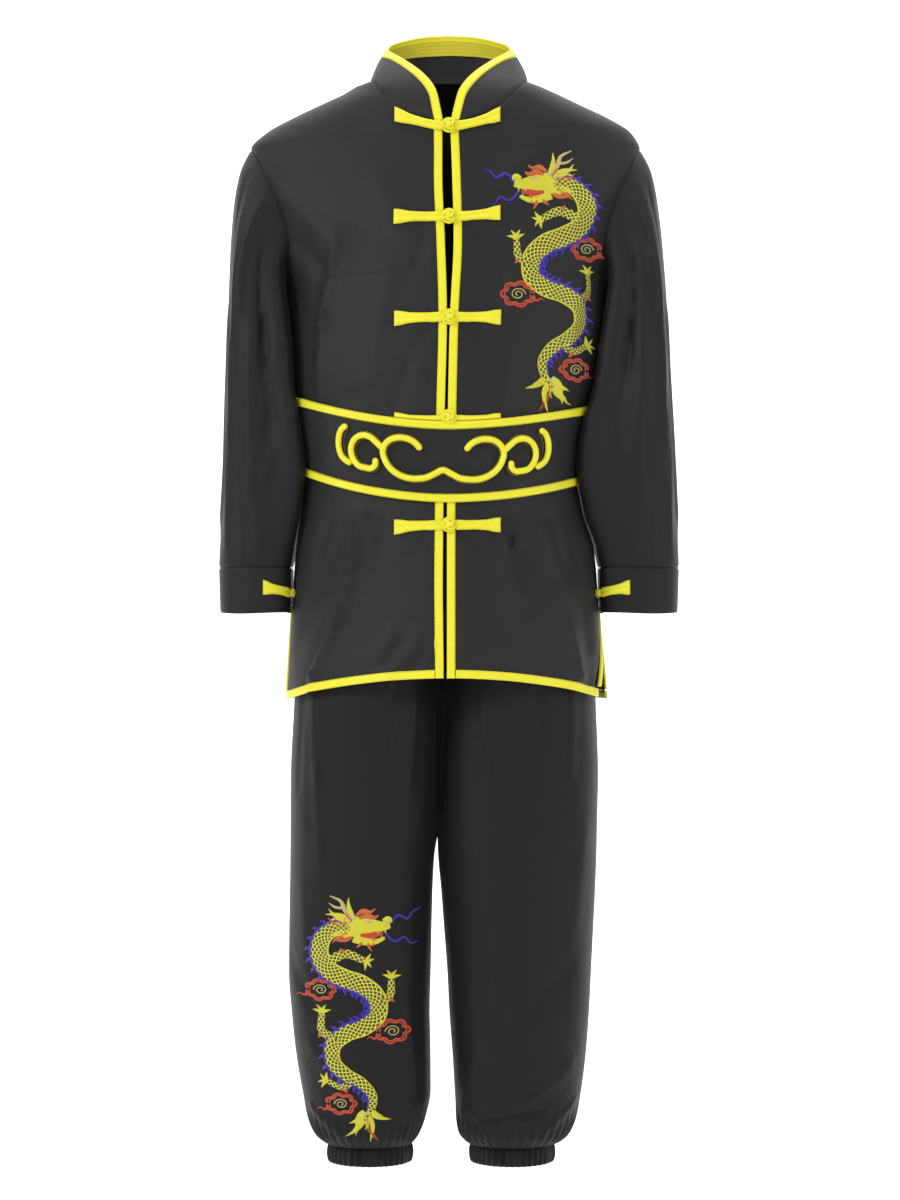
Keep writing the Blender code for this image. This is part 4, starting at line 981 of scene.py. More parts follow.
    def outward(self) -> Patch:
        """The same body with its faces turned out, by the sign of its volume."""
        a, b, c, d = (self.points[self.quads[:, n]] for n in range(4))
        volume = np.einsum("ij,ij->", a, np.cross(b, c)) + np.einsum("ij,ij->", a, np.cross(c, d))
        if volume < 0:
            return Patch(self.points, self.quads[:, ::-1], self.uvs[:, ::-1])
        return self

    @staticmethod
    def join(parts: list[Patch]) -> Patch:
        """One patch of several, each still a closed body of its own."""
        starts = np.cumsum([0] + [len(part.points) for part in parts])[:-1]
        return Patch(
            np.concatenate([part.points for part in parts]),
            np.concatenate([part.quads + start for part, start in zip(parts, starts)]),
            np.concatenate([part.uvs for part in parts]),
        )

    def area(self) -> float:
        """The area of all its faces."""
        a, b, c, d = (self.points[self.quads[:, n]] for n in range(4))
        crosses = np.concatenate([np.cross(b - a, c - a), np.cross(c - a, d - a)])
        return float(np.linalg.norm(crosses, axis=1).sum() / 2)

    def cut(self) -> float:
        """The flat area that a wall of cloth was cut to: half of its two faces together."""
        return round(self.area() / 2, 4)

    def piece(self, name: str, finish: bpy.types.Material, slot: str, *nodes: str) -> bpy.types.Object:
        """Make the object, dress it, and say what it rides on and replaces.

        Args:
            name: the piece's name.
            finish: its material.
            slot: the record's material slot; not used.
            nodes: the solids it stands for.

        Returns:
            The object, at the origin, with its place in its mesh.
        """
        made = self.mesh_object(name, finish)
        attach(made, "root")
        if nodes:
            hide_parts(*nodes)
        LOG.info("%s: %d quads, %.4f m2", name, len(self.quads), self.area())
        return made

    def mesh_object(self, name: str, finish: bpy.types.Material) -> bpy.types.Object:
        """The patch as an object at the origin, smooth but for its sharp edges."""
        mesh = bpy.data.meshes.new(name)
        mesh.vertices.add(len(self.points))
        mesh.vertices.foreach_set("co", self.points.astype(np.float32).ravel())
        mesh.loops.add(self.quads.size)
        mesh.loops.foreach_set("vertex_index", self.quads.astype(np.int32).ravel())
        mesh.polygons.add(len(self.quads))
        mesh.polygons.foreach_set("loop_start", np.arange(0, self.quads.size, 4, dtype=np.int32))
        mesh.update(calc_edges=True)
        layer = mesh.uv_layers.new(name="cloth")
        layer.data.foreach_set("uv", self.uvs.astype(np.float32).ravel())
        mesh.validate()
        mesh.shade_smooth()
        mesh.set_sharp_from_angle(angle=SHARP_ANGLE)
        mesh.materials.append(finish)
        made = bpy.data.objects.new(name, mesh)
        bpy.context.scene.collection.objects.link(made)
        return made


def shell(
    form: Form,
    u: Array,
    v: Array,
    outside: Array | float = 0.0,
    inside: Array | float = -CLOTH,
    ring: bool = False,
) -> Patch:
    """A wall on a patch of a form.

    Args:
        form: the surface.
        u: grid of first parameters.
        v: grid of second parameters.
        outside: how far its outer face stands out from the form.
        inside: the same for its inner face, negative inwards.
        ring: whether the columns close.

    Returns:
        The closed wall.
    """
    at, out = form.points(u, v), form.normals(u, v)
    outer = at + out * np.broadcast_to(outside, u.shape)[..., None]
    inner = at + out * np.broadcast_to(inside, u.shape)[..., None]
    return Patch.wall(outer, inner, ring)


class Wire:
    """A shader socket that does arithmetic: each expression adds its Math nodes."""

    def __init__(self, graph: Graph, socket: bpy.types.NodeSocket) -> None:
        """Keep the graph that new nodes go to and the socket."""
        self.graph = graph
        self.socket = socket

    def math(self, operation: str, *others: Wire | float) -> Wire:
        """Add one Math node on this value and the others."""
        return self.graph.maths(operation, self, *others)

    def __add__(self, other: Wire | float) -> Wire:
        """This plus the other."""
        return self.math("ADD", other)

    __radd__ = __add__

    def __mul__(self, other: Wire | float) -> Wire:
        """This times the other."""
        return self.math("MULTIPLY", other)

    __rmul__ = __mul__

    def __sub__(self, other: Wire | float) -> Wire:
        """This less the other."""
        return self.math("SUBTRACT", other)

    def __rsub__(self, other: float) -> Wire:
        """The other less this."""
        return self.graph.maths("SUBTRACT", other, self)

    def fract(self) -> Wire:
        """The part after the point."""
        return self.math("FRACT")

    def floor(self) -> Wire:
        """The whole part."""
        return self.math("FLOOR")

    def wave(self, pitch: float) -> Wire:
        """A sine wave of this pitch, from 0 to 1."""
        return (self * (2 * math.pi / pitch)).math("SINE") * 0.5 + 0.5

    def size(self) -> Wire:
        """The value without its sign."""
        return self.math("ABSOLUTE")

    def ease(self, low: float, high: float) -> Wire:
        """0 below low, 1 above high, and a smooth step between."""
        settings = {"interpolation_type": "SMOOTHSTEP"}
        return self.graph.node(
            "ShaderNodeMapRange", settings, Value=self, **{"From Min": low, "From Max": high}
        )


class Graph:
    """A material under construction."""

    def __init__(self, name: str) -> None:
        """Start a material with an empty tree, a Principled shader and an output."""
        self.material = bpy.data.materials.new(name)
        self.material.use_nodes = True
        self.tree = self.material.node_tree
        self.tree.nodes.clear()
        self.shader = self.tree.nodes.new("ShaderNodeBsdfPrincipled")
        output = self.tree.nodes.new("ShaderNodeOutputMaterial")
        self.tree.links.new(self.shader.outputs["BSDF"], output.inputs["Surface"])

    def set(self, socket: bpy.types.NodeSocket, value: Wire | float | tuple) -> None:
        """Link a wire to a socket, or set a constant on it."""
        if isinstance(value, Wire):
            self.tree.links.new(value.socket, socket)
        else:
            socket.default_value = value

    def node(self, kind: str, settings: dict | None = None, out: str | int = 0, **values: object) -> Wire:
        """Add a node.

        Args:
            kind: the node's type.
            settings: its properties, set before its sockets.
            out: the output to return.
            values: what goes to each named input.

        Returns:
            The output, as a wire.
        """
        made = self.tree.nodes.new(kind)
        for name, value in (settings or {}).items():
            setattr(made, name, value)
        for name, value in values.items():
            self.set(made.inputs[name], value)
        return Wire(self, made.outputs[out])

    def maths(self, operation: str, *values: Wire | float) -> Wire:
        """Add a Math node with its operation set first."""
        made = self.tree.nodes.new("ShaderNodeMath")
        made.operation = operation
        for socket, value in zip(made.inputs, values):
            self.set(socket, value)
        return Wire(self, made.outputs[0])

    def uv(self) -> tuple[Wire, Wire]:
        """The cloth's own coordinates, across and along, in millimetres."""
        flat = self.node("ShaderNodeUVMap", {"uv_map": "cloth"})
        made = self.tree.nodes.new("ShaderNodeSeparateXYZ")
        self.set(made.inputs[0], flat)
        return Wire(self, made.outputs[0]) * MM_PER_METRE, Wire(self, made.outputs[1]) * MM_PER_METRE

    def noise(self, scale: float, detail: float) -> Wire:
        """Soft noise from 0 to 1, with this many lumps to the metre."""
        where = self.node("ShaderNodeTexCoord", out="Object")
        return self.node("ShaderNodeTexNoise", None, "Fac", Vector=where, Scale=scale, Detail=detail)

    def blend(self, factor: Wire | float, first: Wire | tuple, second: Wire | tuple) -> Wire:
        """Mix two colours."""
        made = self.tree.nodes.new("ShaderNodeMix")
        made.data_type = "RGBA"
        self.set(made.inputs[0], factor)
        for index, value in ((6, first), (7, second)):
            self.set(made.inputs[index], value if isinstance(value, Wire) else (*value, 1.0))
        return Wire(self, made.outputs[2])

    def finish(self, colour: Wire, roughness: Wire | float, height: Wire, depth: float) -> None:
        """Set the base colour, the roughness, and a bump of this depth in metres."""
        self.set(self.shader.inputs["Base Color"], colour)
        self.set(self.shader.inputs["Roughness"], roughness)
        bump = self.node("ShaderNodeBump", None, "Normal", Height=height, Distance=depth, Strength=1.0)
        self.set(self.shader.inputs["Normal"], bump)

    def sheen(self, weight: float, roughness: float = 0.5) -> None:
        """Add the silky light of threads seen along the cloth."""
        self.shader.inputs["Sheen Weight"].default_value = weight
        self.shader.inputs["Sheen Roughness"].default_value = roughness


def shaded(colour: tuple[float, float, float], share: float) -> tuple[float, ...]:
    """A colour times a share."""
    return tuple(c * share for c in colour)


@dataclass(frozen=True)
class Twill:
    """Black twill: fine diagonal ribs, a faint cloudiness, and a silky sheen along the folds."""

    name: str
    colour: tuple[float, float, float]
    roughness: float = 0.50
    rib_mm: float = 0.9
    rib_slant: float = 1.6
    pick_mm: float = 0.495
    specular: float = 0.25
    depth: float = 0.0007

    def make(self) -> bpy.types.Material:
        """Build the material."""
        graph = Graph(self.name)
        across, along = graph.uv()
        rib = (across + along * self.rib_slant).wave(self.rib_mm)
        pick = across.wave(self.pick_mm)
        cloud = graph.noise(26.0, 4.0)
        fibre = graph.noise(900.0, 2.0)
        shade = cloud * 0.26 + fibre * 0.16 + rib * 0.10
        colour = graph.blend(shade, shaded(self.colour, 0.78), shaded(self.colour, 1.42))
        rough = cloud * 0.10 + (self.roughness - 0.05)
        ripple = graph.noise(70.0, 3.0)
        height = rib * 0.07 + pick * 0.03 + ripple * 0.9
        graph.finish(colour, rough, height, self.depth)
        graph.shader.inputs["Specular IOR Level"].default_value = self.specular
        graph.sheen(0.06, 0.35)
        return graph.material


@dataclass(frozen=True)
class Satin:
    """Yellow satin binding: fine threads across it, slightly darker where it is pressed."""

    name: str
    colour: tuple[float, float, float]
    roughness: float = 0.42
    thread_mm: float = 0.55
    pucker_mm: float = 3.4
    depth: float = 0.0005

    def make(self) -> bpy.types.Material:
        """Build the material."""
        graph = Graph(self.name)
        across, along = graph.uv()
        thread = (along + across * 0.35).wave(self.thread_mm)
        pucker = along.wave(self.pucker_mm) * graph.noise(160.0, 2.0)
        cloud = graph.noise(120.0, 3.0)
        dark = (self.colour[0] * 0.88, self.colour[1] * 0.80, self.colour[2] * 0.7)
        colour = graph.blend(cloud * 0.55 + thread * 0.18 + 0.2, dark, self.colour)
        rough = cloud * 0.12 + (self.roughness - 0.06)
        graph.finish(colour, rough, thread * 0.12 + pucker * 0.5, self.depth)
        graph.sheen(0.12, 0.4)
        return graph.material


@dataclass(frozen=True)
class Thread:
    """Embroidery thread: satin stitches lying side by side across each shape."""

    name: str
    colour: tuple[float, float, float]
    second: tuple[float, float, float]
    stitch_mm: float = 0.7
    slant: float = 0.45
    roughness: float = 0.36
    depth: float = 0.0004

    def make(self) -> bpy.types.Material:
        """Build the material."""
        graph = Graph(self.name)
        across, along = graph.uv()
        strand = (along + across * self.slant).wave(self.stitch_mm)
        uneven = graph.noise(420.0, 2.0)
        colour = graph.blend(strand * 0.5 + uneven * 0.5, self.second, self.colour)
        graph.finish(colour, self.roughness, strand * 0.7 + uneven * 0.3, self.depth)
        graph.sheen(0.2)
        return graph.material


@dataclass(frozen=True)
class Scales:
    """A dragon's hide in thread: staggered rows of scale outlines on dark cloth."""

    name: str
    thread: tuple[float, float, float]
    ground: tuple[float, float, float]
    pitch_mm: float = 4.4
    rows_to_pitch: float = 1.55
    strand_mm: float = 0.6
    roughness: float = 0.4
    depth: float = 0.0006

    def make(self) -> bpy.types.Material:
        """Build the material: each cell's outline is where the distance to its root is near 1."""
        graph = Graph(self.name)
        across, along = graph.uv()
        row = along * (self.rows_to_pitch / self.pitch_mm)
        odd = (row.floor() * 0.5).fract()
        cell = (across * (1 / self.pitch_mm) + odd).fract() - 0.5
        rise = row.fract()
        reach = ((cell * 2) * (cell * 2) + rise * rise).math("SQRT")
        ring = 1 - (reach - 0.86).size().ease(0.13, 0.24)
        root = 1 - ((cell * 2).size() + rise * 0.9).ease(0.10, 0.30)
        line = ring.math("MAXIMUM", root * 0.9)
        strand = (along + across * 0.4).wave(self.strand_mm)
        thread = graph.blend(strand, shaded(self.thread, 0.82), self.thread)
        colour = graph.blend(line, self.ground, thread)
        graph.finish(colour, self.roughness, line * 0.8 + strand * line * 0.2, self.depth)
        graph.sheen(0.15)
        return graph.material


@dataclass(frozen=True)
class Plain:
    """A matt studio surface with a little unevenness."""

    name: str
    colour: tuple[float, float, float]
    roughness: float = 0.9
    depth: float = 0.0005

    def make(self) -> bpy.types.Material:
        """Build the material."""
        graph = Graph(self.name)
        grain = graph.noise(3.0, 2.0)
        colour = graph.blend(grain, shaded(self.colour, 0.985), self.colour)
        graph.finish(colour, self.roughness, grain, self.depth)
        return graph.material


TORSO_TWILL = Twill("torso_twill", (0.020, 0.020, 0.021))
# The sleeves' twill is the torso's black cloth with its colour made darker: painted shade on the sleeves
SLEEVE_TWILL_PAINTED_SHADE = Twill("sleeve_twill", (0.015, 0.015, 0.016))
TROUSER_TWILL = Twill("trouser_twill", (0.0095, 0.0095, 0.010), 0.55)
YELLOW_SATIN = Satin("yellow_satin", (1.0, 0.97, 0.030))
YELLOW_CORD = Satin("yellow_cord", (1.0, 0.96, 0.032), 0.38, 0.8)
FACING_CLOTH = Satin("facing_cloth", (0.84, 0.78, 0.03), 0.6, 0.5)
YELLOW_THREAD = Thread("yellow_thread", (0.98, 0.95, 0.04), (0.74, 0.66, 0.02))
VIOLET_THREAD = Thread("violet_thread", (0.05, 0.012, 0.62), (0.03, 0.008, 0.36))
ORANGE_THREAD = Thread("orange_thread", (0.90, 0.22, 0.03), (0.62, 0.09, 0.02))
RED_THREAD = Thread("red_thread", (0.84, 0.07, 0.02), (0.60, 0.03, 0.01))
GOLD_THREAD = Thread("gold_thread", (0.86, 0.72, 0.30), (0.62, 0.46, 0.14))
DARK_THREAD = Thread("dark_thread", (0.02, 0.02, 0.02), (0.01, 0.01, 0.01))
STITCH_THREAD = Thread("stitch_thread", (0.80, 0.66, 0.05), (0.60, 0.46, 0.03))
SCALE_THREAD = Scales("scale_thread", (0.98, 0.94, 0.06), (0.010, 0.010, 0.009))
STUDIO_FLOOR = Plain("studio_floor", (0.90, 0.90, 0.90))


class Dresser:
    """Makes each finish once, when a piece first asks for it."""

    def __init__(self) -> None:
        """Start with none made."""
        self.made: dict[str, bpy.types.Material] = {}

    def __call__(self, finish: Twill | Satin | Thread | Scales | Plain) -> bpy.types.Material:
        """The material of a finish."""
        if finish.name not in self.made:
            self.made[finish.name] = finish.make()
        return self.made[finish.name]


def binding_profile(columns: int) -> Array:
    """How far a binding stands out across its width: flat in the middle and rolled at both edges."""
    s = np.linspace(-1, 1, columns)
    return BINDING_PROUD * (0.2 + 1.6 * (1 - s**6) ** 0.5 + 0.25 * np.cos(3 * math.pi * s))


def stitches(place: Array, out: Array, step: float = STITCH_STEP) -> Patch:
    """A row of thread dashes along a line on the cloth.

    Args:
        place: points of the line, close together.
        out: the cloth's normals there.
        step: from the start of one stitch to the start of the next.

    Returns:
        One small tube for each stitch.
    """
    run = np.concatenate([[0], np.cumsum(np.linalg.norm(np.diff(place, axis=0), axis=1))])
    count = max(int(run[-1] / step), 1)
    dashes = []
    for n in range(count):
        where = n * step + np.array([0.0, 0.33, 0.67, 1.0]) * STITCH_LENGTH
        path = np.stack([np.interp(where, run, place[:, k]) for k in range(3)], 1)
        normal = np.stack([np.interp(where, run, out[:, k]) for k in range(3)], 1)
        path = path + normal * (np.array([-0.6, 0.5, 0.5, -0.6]) * STITCH_RADIUS)[:, None]
        dashes.append(Patch.tube(path, normal, STITCH_RADIUS, 4))
    return Patch.join(dashes)


def tab_profile(across: Array, along: Array) -> Array:
    """A tab's height as a share: two ribs with a groove between, rounded at edges and flared end."""
    edge = np.sqrt(np.clip(1 - across**6, 0, 1))
    ribs = 0.60 + 0.40 * np.abs(np.sin(math.pi * across))
    end = np.sqrt(1 - np.clip(1 - along / 0.05, 0, 1) ** 2)
    return edge * ribs * (0.10 + 0.90 * end)


def knot_patch(form: Form, u: float, v: float, size: float, base: float) -> Patch:
    """A button knot: a small dome, and its cord woven over it in three lobes.

    The cord's distance from the middle is a + b cos(3t) at the angle 2t, and it rises and dips by
    sin(3t), so it crosses over and under by turns.

    Args:
        form: the surface it sits on.
        u: its first parameter there.
        v: its second.
        size: its size as a share of a front knot's.
        base: how far its foot stands out from the form.

    Returns:
        The dome and the cord.
    """
    out = form.normals(np.array([u]), np.array([v]))[0]
    at = form.points(np.array([u]), np.array([v]))[0] + out * base
    across = np.cross(out, [0.0, 0.0, 1.0])
    across /= np.linalg.norm(across)
    rise = np.cross(across, out)
    height = KNOT_HEIGHT * size
    share = np.linspace(0, 0.72, 9)
    dome_radius = 0.80 * KNOT_RADIUS * size * np.sqrt(1 - share**2)
    dome = Patch.tube(at + out * (share * height * 0.8)[:, None], np.tile(rise, (9, 1)), dome_radius, 20)
    t = np.linspace(0, 2 * math.pi, 97)
    far = KNOT_RADIUS * size * (0.52 + 0.26 * np.cos(3 * t))
    arch = 0.30 + 0.52 * np.sqrt(1 - (far / (KNOT_RADIUS * size)) ** 2)
    lift = height * arch + 0.0007 * size * np.sin(3 * t)
    path = at + across * (far * np.cos(2 * t))[:, None] + rise * (far * np.sin(2 * t))[:, None]
    cord = Patch.tube(path + out * lift[:, None], np.tile(out, (97, 1)), 0.00125 * size, 8)
    return Patch.join([dome, cord])


@dataclass
class Jacket:
    """The jacket's panels, its collar, and the binding of every edge."""

    dress: Dresser
    columns: int = 84
    arm_rows: int = 34
    chest_rows: int = 56
    skirt_rows: int = 46
    seam_roll: float = 0.0006
    back_cut: tuple[float, float] = (0.54, 0.64)
    front_cut: tuple[float, float] = (0.28, 0.61)
    collar_cut: tuple[float, float] = (0.42, 0.052)
    facing_cut: tuple[float, float] = (0.20, 0.030)
    armhole_give: float = 0.5
    stitch_rows: list = field(default_factory=list)

    def skirt_downs(self) -> Array:
        """Shares down the skirt, closer together at the vent's top."""
        top = (VENT_TOP_Z - SKIRT_TOP_Z) / (HEM_SIDE_Z - SKIRT_TOP_Z)
        return np.concatenate([
            np.linspace(0, top, self.skirt_rows // 2)[1:], [top + 0.004],
            np.linspace(top, 1, self.skirt_rows // 2)[1:],
        ])

    def roll(self, u: Array) -> Array:
        """How far the cloth dips at its two side seams: a soft step within a few millimetres."""
        share = (u - u[:, :1]) / np.maximum(u[:, -1:] - u[:, :1], 1e-9)
        near = np.minimum(share, 1 - share)
        return -self.seam_roll * np.exp(-((near / 0.016) ** 2))

    def flat_rows(self, neck: Array) -> Array:
        """Heights of the level rows from the neckline to the skirt's top."""
        arm = (SHOULDER_Z + UNDERARM_Z) / 2 + (SHOULDER_Z - UNDERARM_Z) / 2 * np.cos(
            np.linspace(0, math.pi, self.arm_rows)
        )
        chest = np.linspace(UNDERARM_Z - 0.002, SKIRT_TOP_Z, self.chest_rows)
        return np.concatenate([neck, np.linspace(-0.0485, SHOULDER_Z + 0.003, 6), arm, chest])

    def side_edge(self, z: Array) -> Array:
        """A panel's edge at the side, from the armhole's bite and half a seam."""
        bite = np.where((z < SHOULDER_Z) & (z > UNDERARM_Z), armhole_angle(z, SEAM), 0)
        return bite + SEAM / 2 / BODY.at("front", z)

    def vent_angle(self, z: Array, opening: float) -> Array:
        """How far a front's side edge has swung from the side seam, below the vent's top."""
        return opening * np.clip((VENT_TOP_Z - z) / (VENT_TOP_Z - HEM_SIDE_Z), 0, 1) ** 1.3

    def edge_reach(self, side: Side, z: Array) -> Array:
        """A front edge's distance from the centre line, towards its own side."""
        return FRONT_EDGE.at(side.word, z) * side.value

    def own(self, side: Side, theta: Array) -> Array:
        """The ring's angle of an angle measured from a panel's own side."""
        return theta if side is Side.LEFT else math.pi - theta

    def back(self) -> None:
        """The back: level rows from the nape to the hem, split by the neckline above the shoulders."""
        neck = np.concatenate([np.linspace(0.0098, 0.0008, 9), -np.linspace(0.0006, 0.046, 11)])
        z = self.flat_rows(neck)
        neck_x, _, _ = neck_base(neck_alpha_back(np.maximum(z, 1e-6)))
        start = np.where(z > 0, JACKET.angle_at(neck_x, z) + SEAM * TURN_PER_METRE, self.side_edge(z))
        shares = np.linspace(0, 1, self.columns)
        rows_u = list(start[:, None] + (math.pi - 2 * start)[:, None] * shares[None, :])
        rows_v = [np.full(len(shares), level) for level in z]
        for down in self.skirt_downs():
            level = SKIRT_TOP_Z + (HEM_SIDE_Z - SKIRT_TOP_Z) * down
            trim = SEAM / 2 / BODY.at("front", level)
            if level < VENT_TOP_Z - SEAM:
                trim = trim + (BINDING_WIDTH + SEAM) / BODY.at("back", level)
            rows_u.append(trim + (math.pi - 2 * trim) * shares)
            end = HEM_SIDE_Z + BINDING_WIDTH + SEAM
            rows_v.append(np.full(len(shares), SKIRT_TOP_Z + (end - SKIRT_TOP_Z) * down))
        u, v = np.array(rows_u), np.array(rows_v)
        patch = shell(JACKET, -u, v, self.roll(u), self.roll(u) - CLOTH)
        made = patch.piece("jacket_back_cloth", self.dress(TORSO_TWILL), "jacket_cloth", "jacket_back")
        patch.cut()

    def front(self, side: Side) -> None:
        """A front: level rows down to the belt, then rows that fall to the slanting hem."""
        shares = np.linspace(0, 1, self.columns // 2 + 6)
        z = self.flat_rows(-np.concatenate([[0.0006, 0.0016], np.linspace(0.003, 0.047, 14)]))
        neck_x, _, _ = neck_base(neck_alpha_front(np.minimum(z, -1e-6)))
        neck_x = side.value * neck_x - NECK_SHIFT * np.clip(-z / NECK_DROP, 0, 1)
        edge_x = FRONT_EDGE.at(side.word, z) + side.value * (BINDING_WIDTH + SEAM)
        angle = self.own(side, JACKET.angle_at(np.where(z > -NECK_DROP, neck_x, edge_x), z))
        inner = angle - np.where(z > -NECK_DROP, SEAM * TURN_PER_METRE, 0)
        plain = SEAM / 2 / BODY.at("front", z)
        give = np.clip(1 - shares / self.armhole_give, 0, 1) ** 2
        bite = (self.side_edge(z) - plain)[:, None] * give[None, :]
        rows_u = list(plain[:, None] + (inner - plain)[:, None] * shares[None, :] + bite)
        rows_v = [np.full(len(shares), level) for level in z]
        for down in self.skirt_downs():
            level = SKIRT_TOP_Z + (HEM_SIDE_Z - SKIRT_TOP_Z) * down
            trim = SEAM / 2 / BODY.at("front", level)
            if level < VENT_TOP_Z - SEAM:
                trim = trim + (BINDING_WIDTH + SEAM) / BODY.at("front", level)
            start = trim + self.vent_angle(level, VENT_OPEN[side.word])
            middle = SKIRT_TOP_Z + (hem_at(math.pi / 2) + BINDING_WIDTH + SEAM - SKIRT_TOP_Z) * down
            across = JACKET.panel_angle(side, self.edge_reach(side, middle) + BINDING_WIDTH + SEAM, middle)
            row = start + (across - start) * shares
            rows_u.append(row)
            rows_v.append(SKIRT_TOP_Z + (hem_at(row) + BINDING_WIDTH + SEAM - SKIRT_TOP_Z) * down)
        u, v = np.array(rows_u), np.array(rows_v)
        dip = self.roll(u)
        patch = shell(JACKET, self.own(side, u), v, dip, dip - CLOTH)
        name = f"jacket_front_{side.word}"
        made = patch.piece(name + "_cloth", self.dress(TORSO_TWILL), "jacket_cloth", name)
        patch.cut()

    def bound(self, name: str, form: Form, u: Array, v: Array) -> None:
        """A binding folded over an edge: rolled outside and in.

        Args:
            name: the solid it stands for.
            form: the surface it lies on.
            u: grid of first parameters, its middle column the binding's middle line.
            v: grid of second parameters.
        """
        wide = u.shape[1] <= u.shape[0]
        profile = binding_profile(u.shape[1])[None, :] if wide else binding_profile(u.shape[0])[:, None]
        patch = shell(form, u, v, profile, -CLOTH - profile * 0.8)
        patch.piece(name + "_satin", self.dress(YELLOW_SATIN), "binding", name)

    def stitch(self, form: Form, u: Array, v: Array) -> None:
        """Add a row of stitches along a line of a form, on top of its binding."""
        place = form.raised(u, v, BINDING_CROWN)
        self.stitch_rows.append(stitches(place, form.normals(u, v)))

    def front_binding(self, side: Side) -> None:
        """The binding of a front edge, from the collar to the hem."""
        z = np.concatenate([[-0.0488], np.linspace(-0.056, -0.574, 120), [hem_at(math.pi / 2)]])
        reach = self.edge_reach(side, np.maximum(z, -0.574))
        across = BINDING_WIDTH * np.linspace(1, 0, BINDING_STEPS)
        u = JACKET.panel_angle(side, reach[:, None] + across[None, :], z[:, None])
        u = self.own(side, u)
        v = np.broadcast_to(z[:, None], u.shape)
        self.bound(f"front_binding_{side.word}", JACKET, u, v)
        self.stitch(JACKET, u[:, 1], v[:, 1])

    def front_hem(self, side: Side) -> None:
        """The bindings of a front's hem and of its side of the vent."""
        opening = VENT_OPEN[side.word]
        outer = SEAM / BODY.at("front", HEM_SIDE_Z) + self.vent_angle(HEM_SIDE_Z, opening)
        reach = self.edge_reach(side, HEM_SIDE_Z) + BINDING_WIDTH + 2 * SEAM
        inner = JACKET.panel_angle(side, reach, hem_at(math.pi / 2))
        theta = outer + (inner - outer) * np.linspace(0, 1, 70)
        rise = BINDING_WIDTH * np.linspace(1, 0, BINDING_STEPS)
        u = np.broadcast_to(theta[None, :], (BINDING_STEPS, len(theta)))
        v = hem_at(u) + rise[:, None]
        self.bound(f"hem_binding_{side.word}", JACKET, self.own(side, u), v)
        self.stitch(JACKET, self.own(side, u[1]), v[1])
        foot = hem_at(outer + BINDING_WIDTH / BODY.at("front", HEM_SIDE_Z)) + BINDING_WIDTH + SEAM
        z = np.linspace(VENT_TOP_Z - 0.0012, foot, 30)
        depth = BODY.at("front", z)
        start = SEAM / depth + self.vent_angle(z, opening)
        u = start[:, None] + BINDING_WIDTH / depth[:, None] * np.linspace(0, 1, BINDING_STEPS)
        v = np.broadcast_to(z[:, None], u.shape)
        self.bound(f"vent_binding_front_{side.word}", JACKET, self.own(side, u), v)

    def back_hem(self) -> None:
        """The bindings of the back's hem and of its sides of the vents."""
        trim = SEAM / BODY.at("back", HEM_SIDE_Z)
        theta = trim + (math.pi - 2 * trim) * np.linspace(0, 1, 130)
        u = np.broadcast_to(theta[None, :], (BINDING_STEPS, len(theta)))
        v = HEM_SIDE_Z + BINDING_WIDTH * np.linspace(1, 0, BINDING_STEPS)[:, None] + 0 * u
        self.bound("hem_binding_back", JACKET, -u, v)
        self.stitch(JACKET, -u[1], v[1])
        z = np.linspace(VENT_TOP_Z - 0.0012, HEM_SIDE_Z + BINDING_WIDTH + 0.0012, 30)
        for side in Side:
            across = SEAM + BINDING_WIDTH * np.linspace(0, 1, BINDING_STEPS)
            u = across[None, :] / BODY.at("back", z)[:, None]
            u = -u if side is Side.LEFT else math.pi + u
            v = np.broadcast_to(z[:, None], u.shape)
            self.bound(f"vent_binding_back_{side.word}", JACKET, u, v)

    def collar(self) -> None:
        """The stand, its bound upper edge and the yellow facing inside its back."""
        form = CollarForm()
        front = neck_alpha_front(-np.linspace(0.0475, 0.0012, 22))
        back = neck_alpha_back(np.linspace(0.0006, 0.0098, 16))
        half = np.concatenate([front, [0.0], back])
        alpha = np.concatenate([half, [-math.pi / 2], (-math.pi - half)[::-1]])
        height = form.height(alpha)
        low, high = -0.0030 / height, 1 - (BINDING_WIDTH + SEAM) / height
        shares = np.linspace(0, 1, 14)
        u = np.broadcast_to(alpha[None, :], (14, len(alpha)))
        v = (low[:, None] + (high - low)[:, None] * shares[None, :]).T
        dip = -0.0014 * smoothstep(1 - v * height[None, :] / 0.0020)
        stand = shell(form, u, v, dip, dip - CLOTH - 0.0004)
        made = stand.piece("collar_cloth", self.dress(TORSO_TWILL), "jacket_cloth", "collar")
        stand.cut()
        tip = np.radians([90, 87, 84])
        edge = np.concatenate([tip, alpha, (-math.pi - tip)[::-1]])
        height = form.height(edge)
        u = np.broadcast_to(edge[None, :], (BINDING_STEPS, len(edge)))
        v = 1 - BINDING_WIDTH * np.linspace(1, 0, BINDING_STEPS)[:, None] / height[None, :]
        self.bound("collar_binding", form, u, v)
        self.stitch(form, u[1], v[1])
        alpha = np.concatenate([back, [-math.pi / 2], (-math.pi - back)[::-1]])
        u = np.broadcast_to(alpha[None, :], (14, len(alpha)))
        v = np.broadcast_to(np.linspace(0.56, 0.88, 14)[:, None], u.shape)
        facing = shell(form, u, v, -CLOTH - 0.0009, -CLOTH - 0.0018)
        made = facing.piece("collar_facing_cloth", self.dress(FACING_CLOTH), "facing", "collar_facing")
        facing.cut()

    def build(self) -> None:
        """Build every panel and binding, and the stitches on them."""
        self.back()
        for side in Side:
            self.front(side)
            self.front_binding(side)
            self.front_hem(side)
        self.back_hem()
        self.collar()


